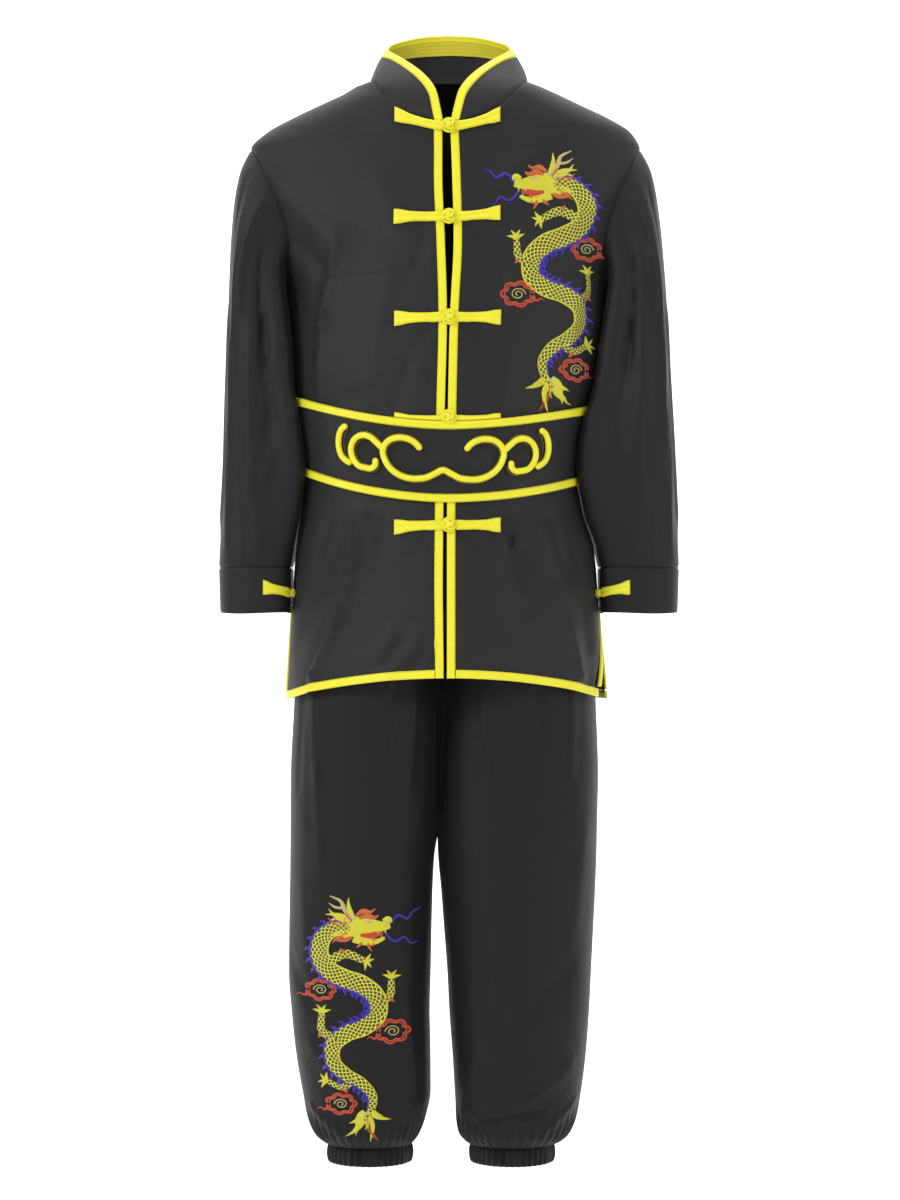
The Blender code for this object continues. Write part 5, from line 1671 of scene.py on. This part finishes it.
@dataclass
class Sleeves:
    """Both sleeves, their cuffs and the small frog on each cuff."""

    dress: Dresser
    columns: int = 84
    rows: int = 96
    sleeve_cut: tuple[float, float] = (0.34, 0.47)
    cuff_cut: tuple[float, float] = (0.30, 0.052)
    seam_dip: float = 0.0011
    cuff_dip: float = 0.0014

    def build(self) -> None:
        """Build the left and the right sleeve."""
        for side in Side:
            form = SleeveForm(side)
            self.sleeve(side, form)
            self.cuff(side, CuffForm(form))

    def sleeve(self, side: Side, form: SleeveForm) -> None:
        """A sleeve: a tube whose first ring meets the armhole and leans over from it."""
        turn = np.linspace(0, 2 * math.pi, self.columns + 1)[:-1]
        along = np.concatenate([np.linspace(0, 0.14, 18)[:-1], np.linspace(0.14, 1, self.rows - 17)])
        u, v = np.meshgrid(turn, along)
        at = form.points(u, v)
        own = form.normals(u, np.clip(v, 0.002, 0.998))
        seam = JACKET.normals(*form.armhole(turn))[None, :, :]
        lean = np.clip(1 - v / 0.12, 0, 1)[..., None]
        out = seam * lean + own * (1 - lean)
        out = out / np.linalg.norm(out, axis=-1, keepdims=True)
        dip = -self.seam_dip * (np.exp(-((v / 0.006) ** 2)) + np.exp(-(((1 - v) / 0.006) ** 2)))[..., None]
        patch = Patch.wall(at + out * dip, at + out * (dip - CLOTH), ring=True)
        name = f"sleeve_{side.word}"
        made = patch.piece(name + "_cloth", self.dress(SLEEVE_TWILL_PAINTED_SHADE), "sleeve_cloth", name)
        patch.cut()

    def cuff(self, side: Side, form: CuffForm) -> None:
        """A cuff: a short doubled tube, dipped along its seam, with its frog."""
        turn = np.linspace(0, 2 * math.pi, self.columns + 1)[:-1]
        u, v = np.meshgrid(turn, np.concatenate([[0.006, 0.02, 0.04], np.linspace(0.07, 1.0, 14)]))
        dip = -self.cuff_dip * np.exp(-((v / 0.035) ** 2)) - 0.0004 * np.exp(-(((1 - v) / 0.02) ** 2))
        patch = shell(form, u, v, dip, dip - CLOTH - 0.0006, ring=True)
        name = f"cuff_{side.word}"
        made = patch.piece(name + "_cloth", self.dress(SLEEVE_TWILL_PAINTED_SHADE), "sleeve_cloth", name)
        patch.cut()
        along = (CUFF_FROG_Z - SLEEVE_END_Z) / (CUFF_END_Z - SLEEVE_END_Z)
        shares = np.linspace(0, 1, 26)
        turn = CUFF_TAB_START + shares * CUFF_TAB_SWEEP
        half = TAB.at("half", shares) / (SLEEVE_END_Z - CUFF_END_Z)
        middle = along + CUFF_TAB_SLANT * (shares - 0.5)
        across = np.linspace(-1, 1, 15)
        u = np.broadcast_to(turn[:, None], (26, 15))
        v = middle[:, None] + half[:, None] * across[None, :]
        top = LAID_ON + TAB_THICK * tab_profile(across[None, :], shares[:, None])
        patch = shell(form, u, v, top, LAID_ON)
        name = f"cuff_frog_tab_{side.word}"
        patch.piece(name + "_satin", self.dress(YELLOW_CORD), "binding", name)
        knot = knot_patch(form, CUFF_KNOT_TURN, along + CUFF_KNOT_DROP, CUFF_KNOT_SCALE, LAID_ON)
        name = f"cuff_frog_knot_{side.word}"
        knot.piece(name + "_cord", self.dress(YELLOW_CORD), "binding", name)


@dataclass
class Frogs:
    """Five frogs down the front: a loop and its tab, and a tab with a woven knot."""

    dress: Dresser
    steps: int = 44
    columns: int = 17
    ring_radius: float = 0.0013

    def build(self) -> None:
        """Build every row of the front."""
        for number, height in enumerate(FROG_HEIGHTS, 1):
            base = LAID_ON + (NECK_FROG_RAISE if number == 1 else FROG_RAISE)
            lift = FROG_NECK_LIFT if number == 1 else 0.0
            knot_z = height + (BELT_KNOT_RISE if number == BELT_FROG else 0.0)
            for side in Side:
                self.tab(number, side, height, lift, base, knot_z)
            knot = knot_patch(JACKET, float(JACKET.angle_at(0.0, knot_z)), knot_z, 1.0, base)
            name = f"frog_{number}_knot"
            knot.piece(name + "_cord", self.dress(YELLOW_CORD), "binding", name)

    def tab(self, number: int, side: Side, height: float, lift: float, base: float, knot_z: float) -> None:
        """One tab, from its flared end to the knot. The wearer's right one ends in a ring of cord."""
        shares = np.linspace(0, 1, self.steps)
        across = np.linspace(-1, 1, self.columns)
        reach = FROG_REACH[side.word]
        x = side.value * (reach + (KNOT_RADIUS + 2 * SEAM - reach) * shares)
        z = height + (lift + TAB_TILT.get((number, side.word), 0.0)) * (1 - shares) ** 1.4
        v = z[:, None] + TAB.at("half", shares)[:, None] * across[None, :]
        u = JACKET.angle_at(np.broadcast_to(x[:, None], v.shape), v)
        if number == BELT_FROG:
            v = np.maximum(v, belt_middle(u) + BELT_HALF_WIDTH + SEAM + 0.0004 * (across[None, :] + 1))
        top = base + TAB_THICK * tab_profile(across[None, :], shares[:, None])
        parts = [shell(JACKET, u, v, top, base)]
        if side is Side.RIGHT:
            parts.append(self.ring(knot_z, base))
        name = f"frog_{number}_{'tab' if side is Side.LEFT else 'loop'}"
        Patch.join(parts).piece(name + "_satin", self.dress(YELLOW_CORD), "binding", name)

    def ring(self, z: float, base: float) -> Patch:
        """The loop's ring of cord round the knot's foot."""
        turn = np.linspace(0, 2 * math.pi, 49)
        rho = KNOT_RADIUS * 0.98
        u = JACKET.angle_at(rho * np.cos(turn), z + rho * np.sin(turn))
        v = z + rho * np.sin(turn)
        path = JACKET.raised(u, v, base + self.ring_radius * 1.2)
        return Patch.tube(path, JACKET.normals(u, v), self.ring_radius, 8)


def arc(cx: float, cz: float, rx: float, rz: float, start: float, end: float, count: int) -> Array:
    """Points of an ellipse's arc, between two angles in degrees."""
    angle = np.radians(np.linspace(start, end, count))
    return np.stack([cx + rx * np.cos(angle), cz + rz * np.sin(angle)], 1)


def smooth_path(rows: Array, count: int) -> Array:
    """A smooth curve through rows of numbers: cubics with slopes taken from their neighbours.

    Args:
        rows: the points, the first two columns being places.
        count: how many points to return, evenly spaced.

    Returns:
        The curve's points, with the same columns.
    """
    rows = np.array(rows, float)
    run = np.concatenate([[0], np.cumsum(np.hypot(*np.diff(rows[:, :2], axis=0).T))])
    slopes = np.gradient(rows, run, axis=0) if len(rows) > 2 else np.diff(rows, axis=0).repeat(2, 0) / run[1]
    where = np.linspace(0, run[-1], count)
    k = np.clip(np.searchsorted(run, where, side="right") - 1, 0, len(run) - 2)
    step = (run[k + 1] - run[k])[:, None]
    t = (where - run[k])[:, None] / step
    ends = rows[k] * (1 + 2 * t) * (1 - t) ** 2 + rows[k + 1] * t**2 * (3 - 2 * t)
    return ends + step * (slopes[k] * t * (1 - t) ** 2 - slopes[k + 1] * t**2 * (1 - t))


@dataclass
class Belt:
    """The broad belt, its two bindings, and the cloud scroll of yellow cord on its front."""

    dress: Dresser
    columns: int = 300
    band_cut: tuple[float, float] = (0.80, 0.063)
    stitch_rows: list = field(default_factory=list)

    def build(self) -> None:
        """Build the band, the bindings and the scroll."""
        gap = SEAM / 0.09
        theta = np.linspace(-math.pi / 2 + gap, 1.5 * math.pi - gap, self.columns)
        half = BELT_HALF_WIDTH - BINDING_WIDTH - 0.0005
        share = np.linspace(1, -1, 21)
        u = np.broadcast_to(theta[None, :], (21, self.columns))
        v = belt_middle(u) + half * share[:, None]
        wave = np.sin(9 * u + 1.3 * np.sin(5 * u + 2 * share[:, None])) * (1 - share[:, None] ** 2)
        crease = 0.0007 * wave - 0.0004 * np.exp(-(((1 - np.abs(share[:, None])) / 0.1) ** 2))
        patch = shell(JACKET, u, v, BELT_STAND_OFF + BELT_WALL + crease, BELT_STAND_OFF + crease * 0.5)
        made = patch.piece("belt_band_cloth", self.dress(TORSO_TWILL), "jacket_cloth", "belt_band")
        patch.cut()
        s = np.linspace(-1, 1, 9)
        crown = BELT_BINDING_THICK * (0.55 + 0.45 * np.sqrt(1 - s**6) + 0.06 * np.cos(3 * math.pi * s))
        u = np.broadcast_to(theta[None, :], (9, self.columns))
        for name, sign in (("belt_binding_top", 1), ("belt_binding_bottom", -1)):
            rise = sign * (BELT_HALF_WIDTH - BINDING_WIDTH * (1 - sign * s) / 2)
            v = belt_middle(u) + np.sort(rise)[::-1][:, None]
            strip = shell(JACKET, u, v, BELT_STAND_OFF + crown[:, None], BELT_STAND_OFF)
            strip.piece(name + "_satin", self.dress(YELLOW_SATIN), "binding", name)
            row = v[7] if sign > 0 else v[1]
            place = JACKET.raised(theta, row, BELT_STAND_OFF + BELT_BINDING_THICK)
            self.stitch_rows.append(stitches(place, JACKET.normals(theta, row)))
        for name, path in self.scroll_paths().items():
            self.cord(name, path)

    def scroll_paths(self) -> dict[str, Array]:
        """The scroll's lines as (x, rise) on the belt: arcs, the right side mirrored."""
        curl = np.concatenate([
            arc(0.0430, 0.0045, 0.0205, 0.0160, 150, -20, 14),
            arc(0.0330, 0.0030, 0.0295, 0.0215, -28, -100, 8),
            [[0.0180, -0.0165], [0.0085, -0.0120]],
        ])
        middle = np.concatenate([curl * [-1, 1], [[0.0, -0.0085]], curl[::-1]])
        second = np.concatenate([
            [[0.0650, 0.0085]],
            arc(0.0815, 0.0010, 0.0150, 0.0165, 128, -60, 14),
            arc(0.0790, -0.0070, 0.0080, 0.0075, -75, -190, 5),
        ])
        hook = np.concatenate([
            arc(0.1010, 0.0060, 0.0085, 0.0165, 75, -75, 9),
            [[0.0985, -0.0122]],
        ])
        return {
            "scroll_middle": middle,
            "scroll_curl_left": second,
            "scroll_curl_right": second * [-1, 1],
            "scroll_hook_left": hook,
            "scroll_hook_right": hook * [-1, 1],
        }

    def cord(self, name: str, path: Array) -> None:
        """One line of the scroll, as a satin cord with a row of stitches on both sides."""
        path = smooth_path(path, 60 + len(path) * 6)
        along = np.gradient(path, axis=0)
        beside = np.stack([-along[:, 1], along[:, 0]], 1) / np.hypot(*along.T)[:, None]
        for offset in (-1, 0, 1):
            line = path + beside * offset * (SCROLL_RADIUS + 0.0006)
            x = line[:, 0] * SCROLL_SPREAD + SCROLL_CENTRE_X
            theta = JACKET.angle_at(x, np.full(len(x), BELT_FRONT_Z))
            z = belt_middle(theta) + line[:, 1]
            theta = JACKET.angle_at(x, z)
            out = JACKET.normals(theta, z)
            on_belt = BELT_STAND_OFF + BELT_WALL
            if offset:
                self.stitch_rows.append(stitches(JACKET.raised(theta, z, on_belt + 0.0004), out))
                continue
            rise = on_belt + 2 * SEAM + SCROLL_RADIUS
            tube = Patch.tube(JACKET.raised(theta, z, rise), out, SCROLL_RADIUS, 18)
            tube.piece(name + "_cord", self.dress(YELLOW_CORD), "binding", name)


@dataclass
class Trousers:
    """The four trouser panels, the waistband under the jacket, and the gathered ankle cuffs."""

    dress: Dresser
    columns: int = 104
    panel_cut: tuple[float, float] = (0.265, 0.690)
    band_cut: tuple[float, float] = (0.80, 0.052)
    ankle_cut: tuple[float, float] = (0.56, 0.022)
    ankle_columns: int = 480
    seam_trim: float = 0.0001

    def build(self) -> None:
        """Build the panels, the waistband and the cuffs."""
        for side in Side:
            for half in ("front", "back"):
                self.panel(side, half)
            self.ankle(side)
        self.waistband()

    def panel(self, side: Side, half: str) -> None:
        """A panel from the waist to the gathers, held apart from its fellow above the crotch."""
        form = LegForm(side, half)
        trim = self.seam_trim
        z = np.concatenate([
            np.linspace(WAIST_BOTTOM_Z - 3 * SEAM, -0.585, 16),
            np.linspace(-0.590, -0.620, 6),
            np.linspace(-0.626, -1.000, 54),
            np.linspace(-1.003, LEG_END_Z, 34),
        ])
        u, v = np.meshgrid(np.linspace(trim, 1 - trim, self.columns), z)
        at, out = form.points(u, v), form.normals(u, v)
        share = (u - trim) / (1 - 2 * trim)
        near = np.minimum(share, 1 - share)
        dip = -0.0006 * np.exp(-((near / 0.018) ** 2))[..., None]
        outer, inner = at + out * dip, at + out * (dip - CLOTH)
        for points in (outer, inner):
            held = (LEGS.at("left_in", v) + LEGS.at("right_in", v)) / 2
            past = side.value * points[..., 0] < side.value * held
            points[..., 0] = np.where((v > CROTCH_Z - 0.002) & past, held, points[..., 0])
        patch = Patch.wall(outer, inner)
        name = f"trouser_{half}_{side.word}"
        made = patch.piece(name + "_cloth", self.dress(TROUSER_TWILL), "trouser_cloth", name)
        patch.cut()

    def ankle(self, side: Side) -> None:
        """An ankle cuff: a doubled ring of gathers over its elastic."""
        turn = np.linspace(0, 2 * math.pi, self.ankle_columns + 1)[:-1]
        u, v = np.meshgrid(turn, np.linspace(ANKLE_TOP_Z, ANKLE_END_Z, 12))
        share = (v - ANKLE_END_Z) / (ANKLE_TOP_Z - ANKLE_END_Z)
        round_off = -0.0010 * (2 * np.abs(share - 0.5)) ** 6
        patch = shell(AnkleForm(side), u, v, round_off, -CLOTH - 0.0012, ring=True)
        name = f"ankle_cuff_{side.word}"
        made = patch.piece(name + "_cloth", self.dress(TROUSER_TWILL), "trouser_cloth", name)
        patch.cut()

    def waistband(self) -> None:
        """The waistband, hidden inside the jacket behind the belt."""
        turn = np.linspace(0, 2 * math.pi, 181)[:-1]
        u, v = np.meshgrid(turn, np.linspace(WAIST_TOP_Z, WAIST_BOTTOM_Z, 10))
        outer = -JACKET_WALL - BINDING_PROUD - 2 * SEAM
        patch = shell(JACKET, u, v, outer, outer - WAISTBAND_WALL, ring=True)
        made = patch.piece("waistband_cloth", self.dress(TROUSER_TWILL), "trouser_cloth", "waistband")
        patch.cut()


# A dragon in thread, in millimetres from its middle, facing -x: the line of its back, with half widths
DRAGON_SPINE = (
    (4, 92, 5.0), (18, 93, 6.6), (31, 84, 7.6), (36, 68, 8.2), (30, 52, 8.6), (14, 41, 8.8), (-4, 33, 8.8),
    (-17, 19, 8.4), (-17, 2, 8.0), (-4, -9, 7.8), (14, -15, 7.6), (28, -27, 7.2), (29, -44, 6.6),
    (17, -58, 6.0), (2, -68, 5.2), (-7, -82, 4.2), (-4, -97, 3.0), (2, -106, 1.8),
)
# Its head, from the neck: forward, up, half width
DRAGON_HEAD = (
    ("yellow", ((-10, 1, 6.0), (-2, 2.5, 7.0), (7, 2.5, 5.0), (15, 1.5, 3.4), (20, 2.0, 2.4))),
    ("yellow", ((15.5, 5.0, 1.4), (19.0, 6.0, 2.3), (21.5, 4.0, 1.2))),
    ("yellow", ((-5, -5.5, 3.2), (3, -8.5, 2.6), (10, -9.0, 1.9), (16, -6.8, 1.0))),
    ("red", ((0, -3.6, 1.4), (8, -4.6, 2.0), (15, -3.2, 1.0))),
    ("gold", ((16.5, -1.2, 0.8), (17.0, -4.2, 0.25))),
    ("gold", ((12.0, -1.6, 0.7), (12.3, -4.4, 0.2))),
    ("gold", ((13.5, -7.0, 0.6), (14.2, -4.6, 0.2))),
    ("gold", ((3.0, 5.0, 1.6), (6.0, 5.4, 2.2), (9.0, 4.6, 1.0))),
    ("dark", ((5.4, 5.1, 0.9), (7.2, 5.1, 0.9))),
    ("orange", ((0, 8.2, 1.2), (5, 9.6, 2.0), (10, 8.2, 1.4), (13, 9.6, 0.4))),
    ("orange", ((-2, 10.5, 1.0), (3, 13.2, 1.7), (8, 12.4, 1.0), (11, 14.4, 0.3))),
    ("gold", ((-3, 8.0, 1.8), (-9, 14.0, 1.7), (-12, 21.0, 1.1), (-19, 25.0, 0.3))),
    ("gold", ((-10, 16.0, 1.0), (-16, 17.0, 0.8), (-20, 20.0, 0.2))),
    ("yellow", ((-7, 6.0, 1.6), (-14, 9.0, 2.0), (-19, 8.0, 0.4))),
    ("violet", ((20, 3.0, 0.9), (26, 8.5, 0.9), (32, 5.5, 0.8), (36, 10.0, 0.6), (41, 11.5, 0.2))),
    ("violet", ((17, -4.5, 0.9), (23, -10.0, 0.8), (29, -7.5, 0.7), (33, -12.5, 0.5), (38, -12.0, 0.2))),
)
# Locks that fan back from the head, down from the jaw, and out from the tail: (x, z, turn, length)
MANE = np.array([
    (-8, 9, 128, 15), (-11, 6, 150, 19), (-12, 2, 168, 20), (-12, -3, 188, 17), (-9, -7, 208, 15),
])
BEARD = ((2, -10, 248, 11), (7, -11, 262, 12), (12, -9, 280, 9))
TAIL_TUFT = (
    (2, -100, -46, 23), (1, -101, -68, 29), (0, -101, -90, 30), (-2, -100, -112, 29), (-3, -97, -134, 23),
)
# Its legs: where each leaves the body, its knee and its foot
DRAGON_LEGS = (
    ((28, 58, 5.2), (10, 66, 4.6), (-8, 58, 3.2)),
    ((-14, 12, 5.0), (-30, 20, 4.2), (-33, 38, 3.0)),
    ((22, -22, 5.0), (38, -12, 4.2), (37, 6, 3.0)),
    ((8, -62, 4.4), (22, -70, 3.6), (36, -64, 2.6)),
)
CLOUDS = ((-31, -16, 10.0), (37, 30, 9.0), (24, -88, 9.0))
# The wisp that trails from a cloud
CLOUD_WISP = ((0, -3, 1.3), (5, -6, 1.1), (9, -4, 0.7), (12, -6, 0.2))
HEAD_SCALE = 1.45
BODY_FULLNESS = 1.15
CLOUD_SCALE = 1.35
CLOUD_LOBES = 3.5
THREAD_RISE = 0.0006
THREAD_FOOT = 0.00025
THREADS = {
    "scale": SCALE_THREAD,
    "yellow": YELLOW_THREAD,
    "violet": VIOLET_THREAD,
    "orange": ORANGE_THREAD,
    "red": RED_THREAD,
    "gold": GOLD_THREAD,
    "dark": DARK_THREAD,
}


@dataclass
class Dragon:
    """A traditional dragon in raised satin stitch, with clouds beside it, on one cloth form."""

    dress: Dresser
    name: str
    form: JacketForm | LegForm
    centre: tuple[float, float]
    size: tuple[float, float]
    facing: float
    turn: float = 0.0
    shapes: dict[str, list] = field(default_factory=dict)

    def ribbon(self, thread: str, rows: Array, steps: int = 18, columns: int = 7) -> None:
        """Stitch one shape: a smooth line with a width, domed across.

        Args:
            thread: the name of its thread.
            rows: (x, z, half width) in the dragon's own millimetres.
            steps: points along it.
            columns: points across it.
        """
        line = smooth_path(rows, steps)
        along = np.gradient(line[:, :2], axis=0)
        along /= np.maximum(np.hypot(*along.T)[:, None], 1e-9)
        s = np.linspace(-1, 1, columns)
        half = np.maximum(line[:, 2:3], 0.12)
        x = line[:, 0:1] - along[:, 1:2] * half * s
        z = line[:, 1:2] + along[:, 0:1] * half * s
        c, t = math.cos(self.turn), math.sin(self.turn)
        x, z = x * c - z * t, x * t + z * c
        across = self.centre[0] + self.facing * x * self.size[0] / MM_PER_METRE
        up = self.centre[1] + z * self.size[1] / MM_PER_METRE
        u, v = self.form.place(across, up)
        dome = THREAD_FOOT + THREAD_RISE * np.sqrt(np.clip(1 - s**4, 0, 1)) + 0 * u
        patch = shell(self.form, u, np.broadcast_to(v, u.shape), dome, 0.00004)
        self.shapes.setdefault(thread, []).append(patch)

    def locks(self, thread: str, rows: Array | tuple, origin: tuple = (0.0, 0.0), flip: float = 1.0) -> None:
        """Stitch curved, tapering locks of hair or flame, each bent a little more than the last."""
        for n, (x, z, turn, length) in enumerate(rows):
            a = math.radians(turn)
            bend = math.radians(22 if n % 2 else -20)
            path = []
            fullness = 0.6 + 0.4 * length / 16
            for share, half in ((0.0, 1.6), (0.35, 2.3), (0.7, 1.4), (1.0, 0.2)):
                way = a + bend * share
                reach = length * share
                across = origin[0] + flip * (x + reach * math.cos(way))
                path.append((across, origin[1] + z + reach * math.sin(way), half * fullness))
            self.ribbon(thread, path, 12, 5)

    def body(self) -> None:
        """The scaled body, its belly band, its violet fin with a row of points, and its tail."""
        steps = 190
        line = smooth_path(DRAGON_SPINE, steps)
        along = np.gradient(line[:, :2], axis=0)
        along /= np.hypot(*along.T)[:, None]
        beside = np.stack([-along[:, 1], along[:, 0]], 1)
        line[:, 2] *= BODY_FULLNESS
        half = line[:, 2:3]
        for n in range(3, steps - 12, 5):
            root, out, back = line[n, :2], beside[n], along[n]
            width = float(half[n, 0])
            tip = root + out * (width + 5.6) + back * 3.4
            middle = root + out * (width + 2.6) + back * 0.6
            rows = [(*(root + out * width * 0.8), 2.1), (*middle, 1.5), (*tip, 0.15)]
            self.ribbon("violet", rows, 7, 5)
        self.ribbon("scale", line, steps, 15)
        fin = np.concatenate([line[:, :2] + beside * half * 0.96, 0.10 * half + 0.35], 1)
        belly = np.concatenate([line[:, :2] - beside * half * 0.92, 0.10 * half], 1)
        self.ribbon("violet", fin[::3], steps, 5)
        self.ribbon("yellow", belly[::3], steps, 5)
        self.locks("yellow", TAIL_TUFT)
        self.locks("orange", TAIL_TUFT[2:3])
        self.locks("yellow", tuple((x, z + 4, turn + 11, length * 0.7) for x, z, turn, length in TAIL_TUFT))

    def head(self) -> None:
        """The head, facing forward from the neck, with mane and beard."""
        at = np.array([-6.0, 90.0])
        flip = np.array([-1.0, 1.0])
        self.locks("orange", MANE + (0, 0, 0, 2), tuple(at), -1.0)
        self.locks("yellow", MANE + (2, 4, -9, 6), tuple(at), -1.0)
        self.locks("orange", BEARD, tuple(at), -1.0)
        for thread, rows in DRAGON_HEAD:
            rows = np.array(rows, float) * HEAD_SCALE
            self.ribbon(thread, np.concatenate([at + rows[:, :2] * flip, rows[:, 2:]], 1))

    def leg(self, rows: tuple) -> None:
        """A leg with a tuft at the knee and four claws spread from the foot."""
        self.ribbon("scale", rows, 26, 9)
        (_, _, _), (knee_x, knee_z, _), (foot_x, foot_z, _) = rows
        way = math.degrees(math.atan2(foot_z - knee_z, foot_x - knee_x))
        self.locks("orange", tuple((knee_x, knee_z, way + 180 + k, 8) for k in (-28, 8, 40)))
        for spread in (-62, -24, 16, 58):
            a = math.radians(way + spread)
            hook = a + math.radians(30 if spread > 0 else -30)
            claw = [
                (foot_x, foot_z, 1.5),
                (foot_x + 5 * math.cos(a), foot_z + 5 * math.sin(a), 1.5),
                (
                    foot_x + 7 * math.cos(a) + 3 * math.cos(hook),
                    foot_z + 7 * math.sin(a) + 3 * math.sin(hook),
                    0.2,
                ),
            ]
            self.ribbon("yellow", claw, 9, 5)

    def cloud(self, x: float, z: float, size: float) -> None:
        """A cloud: a lobed red outline with an orange inner line and a gold spiral."""
        turn = np.linspace(0.1, 2 * math.pi - 0.1, 60)
        rho = size * (1 + 0.26 * np.abs(np.sin(CLOUD_LOBES * turn)))
        for thread, share, half in (("red", 1.0, 1.15), ("orange", 0.80, 0.6)):
            across, up = x + rho * share * np.cos(turn), z + rho * share * 0.72 * np.sin(turn)
            self.ribbon(thread, np.stack([across, up, half + 0 * turn], 1), 90, 5)
        turn = np.linspace(0, 3.4 * math.pi, 40)
        rho = size * 0.55 * (1 - turn / (4.2 * math.pi))
        coil = np.stack([x + rho * np.cos(turn), z + rho * 0.8 * np.sin(turn), 0.55 + 0 * turn], 1)
        self.ribbon("gold", coil, 70, 5)
        self.ribbon("red", np.array(CLOUD_WISP) + (x + size, z, 0), 16, 5)

    def build(self) -> None:
        """Stitch everything and make one piece of each thread."""
        for x, z, size in CLOUDS:
            self.cloud(x, z, size * CLOUD_SCALE)
        for leg in DRAGON_LEGS:
            self.leg(leg)
        self.body()
        self.head()
        for thread, parts in self.shapes.items():
            Patch.join(parts).piece(f"{self.name}_{thread}", self.dress(THREADS[thread]), "binding")


@dataclass
class Studio:
    """A white sweep, soft light from the front and above, and the camera."""

    dress: Dresser
    half_width: float = 9.0
    near: float = -7.0
    bend: float = 2.2
    radius: float = 1.6
    top: float = 5.0

    def build(self) -> None:
        """Build the sweep, the lights and the camera."""
        angle = np.linspace(0, math.pi / 2, 24)
        y = np.concatenate([[self.near], self.bend + self.radius * np.sin(angle), [self.bend + self.radius]])
        z = FLOOR_Z + np.concatenate([[0], self.radius * (1 - np.cos(angle)), [self.top]])
        x = np.linspace(-self.half_width, self.half_width, 3)
        outer = np.stack(np.broadcast_arrays(x[None, :], y[:, None], z[:, None]), -1)
        sweep = Patch.wall(outer, outer - [0.0, -0.02, 0.02])
        made = sweep.mesh_object("studio_floor", self.dress(STUDIO_FLOOR))
        world = bpy.data.worlds.new("studio_world")
        world.use_nodes = True
        world.node_tree.nodes["Background"].inputs[0].default_value = (1.0, 1.0, 1.0, 1.0)
        world.node_tree.nodes["Background"].inputs[1].default_value = 0.55
        bpy.context.scene.world = world
        self.light("key", (-2.3, -1.9, 1.2), 42.0, 1.0)
        self.light("fill", (2.6, -1.9, 0.2), 18.0, 1.4)
        self.light("top", (0.2, 0.3, 2.2), 22.0, 2.2)
        self.light("back_wall", (0.0, 1.4, 1.6), 120.0, 3.0, (0.0, 3.6, -0.6))
        bpy.context.scene.view_settings.view_transform = "Standard"
        camera = bpy.data.cameras.new("camera")
        camera.sensor_fit = "VERTICAL"
        camera.angle = 2 * math.atan(VIEW_HEIGHT / 2 / -CAMERA_PLACE[1])
        made = bpy.data.objects.new("camera", camera)
        made.location = CAMERA_PLACE
        made.rotation_euler = (math.pi / 2, 0, 0)
        bpy.context.scene.collection.objects.link(made)
        bpy.context.scene.camera = made

    def light(
        self, name: str, place: tuple, power: float, size: float, aim: tuple = (0.0, 0.0, -0.5),
    ) -> None:
        """Add a square area light aimed at a point."""
        lamp = bpy.data.lights.new(name, "AREA")
        lamp.energy = power
        lamp.size = size
        made = bpy.data.objects.new(name, lamp)
        made.location = place
        made.rotation_euler = (Vector(aim) - Vector(place)).to_track_quat("-Z", "Y").to_euler()
        bpy.context.scene.collection.objects.link(made)


def main() -> None:
    """Build the uniform in the order it is put on, then the studio, and report each part."""
    logging.basicConfig(level=logging.INFO, format="%(message)s")
    dress = Dresser()
    Trousers(dress).build()
    LOG.info("trousers made")
    jacket = Jacket(dress)
    jacket.build()
    LOG.info("jacket made")
    Sleeves(dress).build()
    LOG.info("sleeves made")
    Frogs(dress).build()
    LOG.info("frogs made")
    belt = Belt(dress)
    belt.build()
    LOG.info("belt made")
    Dragon(dress, "chest_dragon", JACKET, (0.098, -0.203), (1.0, 1.0), 1.0).build()
    leg = LegForm(Side.RIGHT, "front")
    Dragon(dress, "leg_dragon", leg, (-0.087, -0.924), (1.0, 0.96), -1.0, -0.06).build()
    LOG.info("embroidery made")
    sewing = Patch.join(jacket.stitch_rows + belt.stitch_rows)
    sewing.piece("seam_stitching", dress(STITCH_THREAD), "binding")
    Studio(dress).build()


if __name__ == "__main__":
    main()
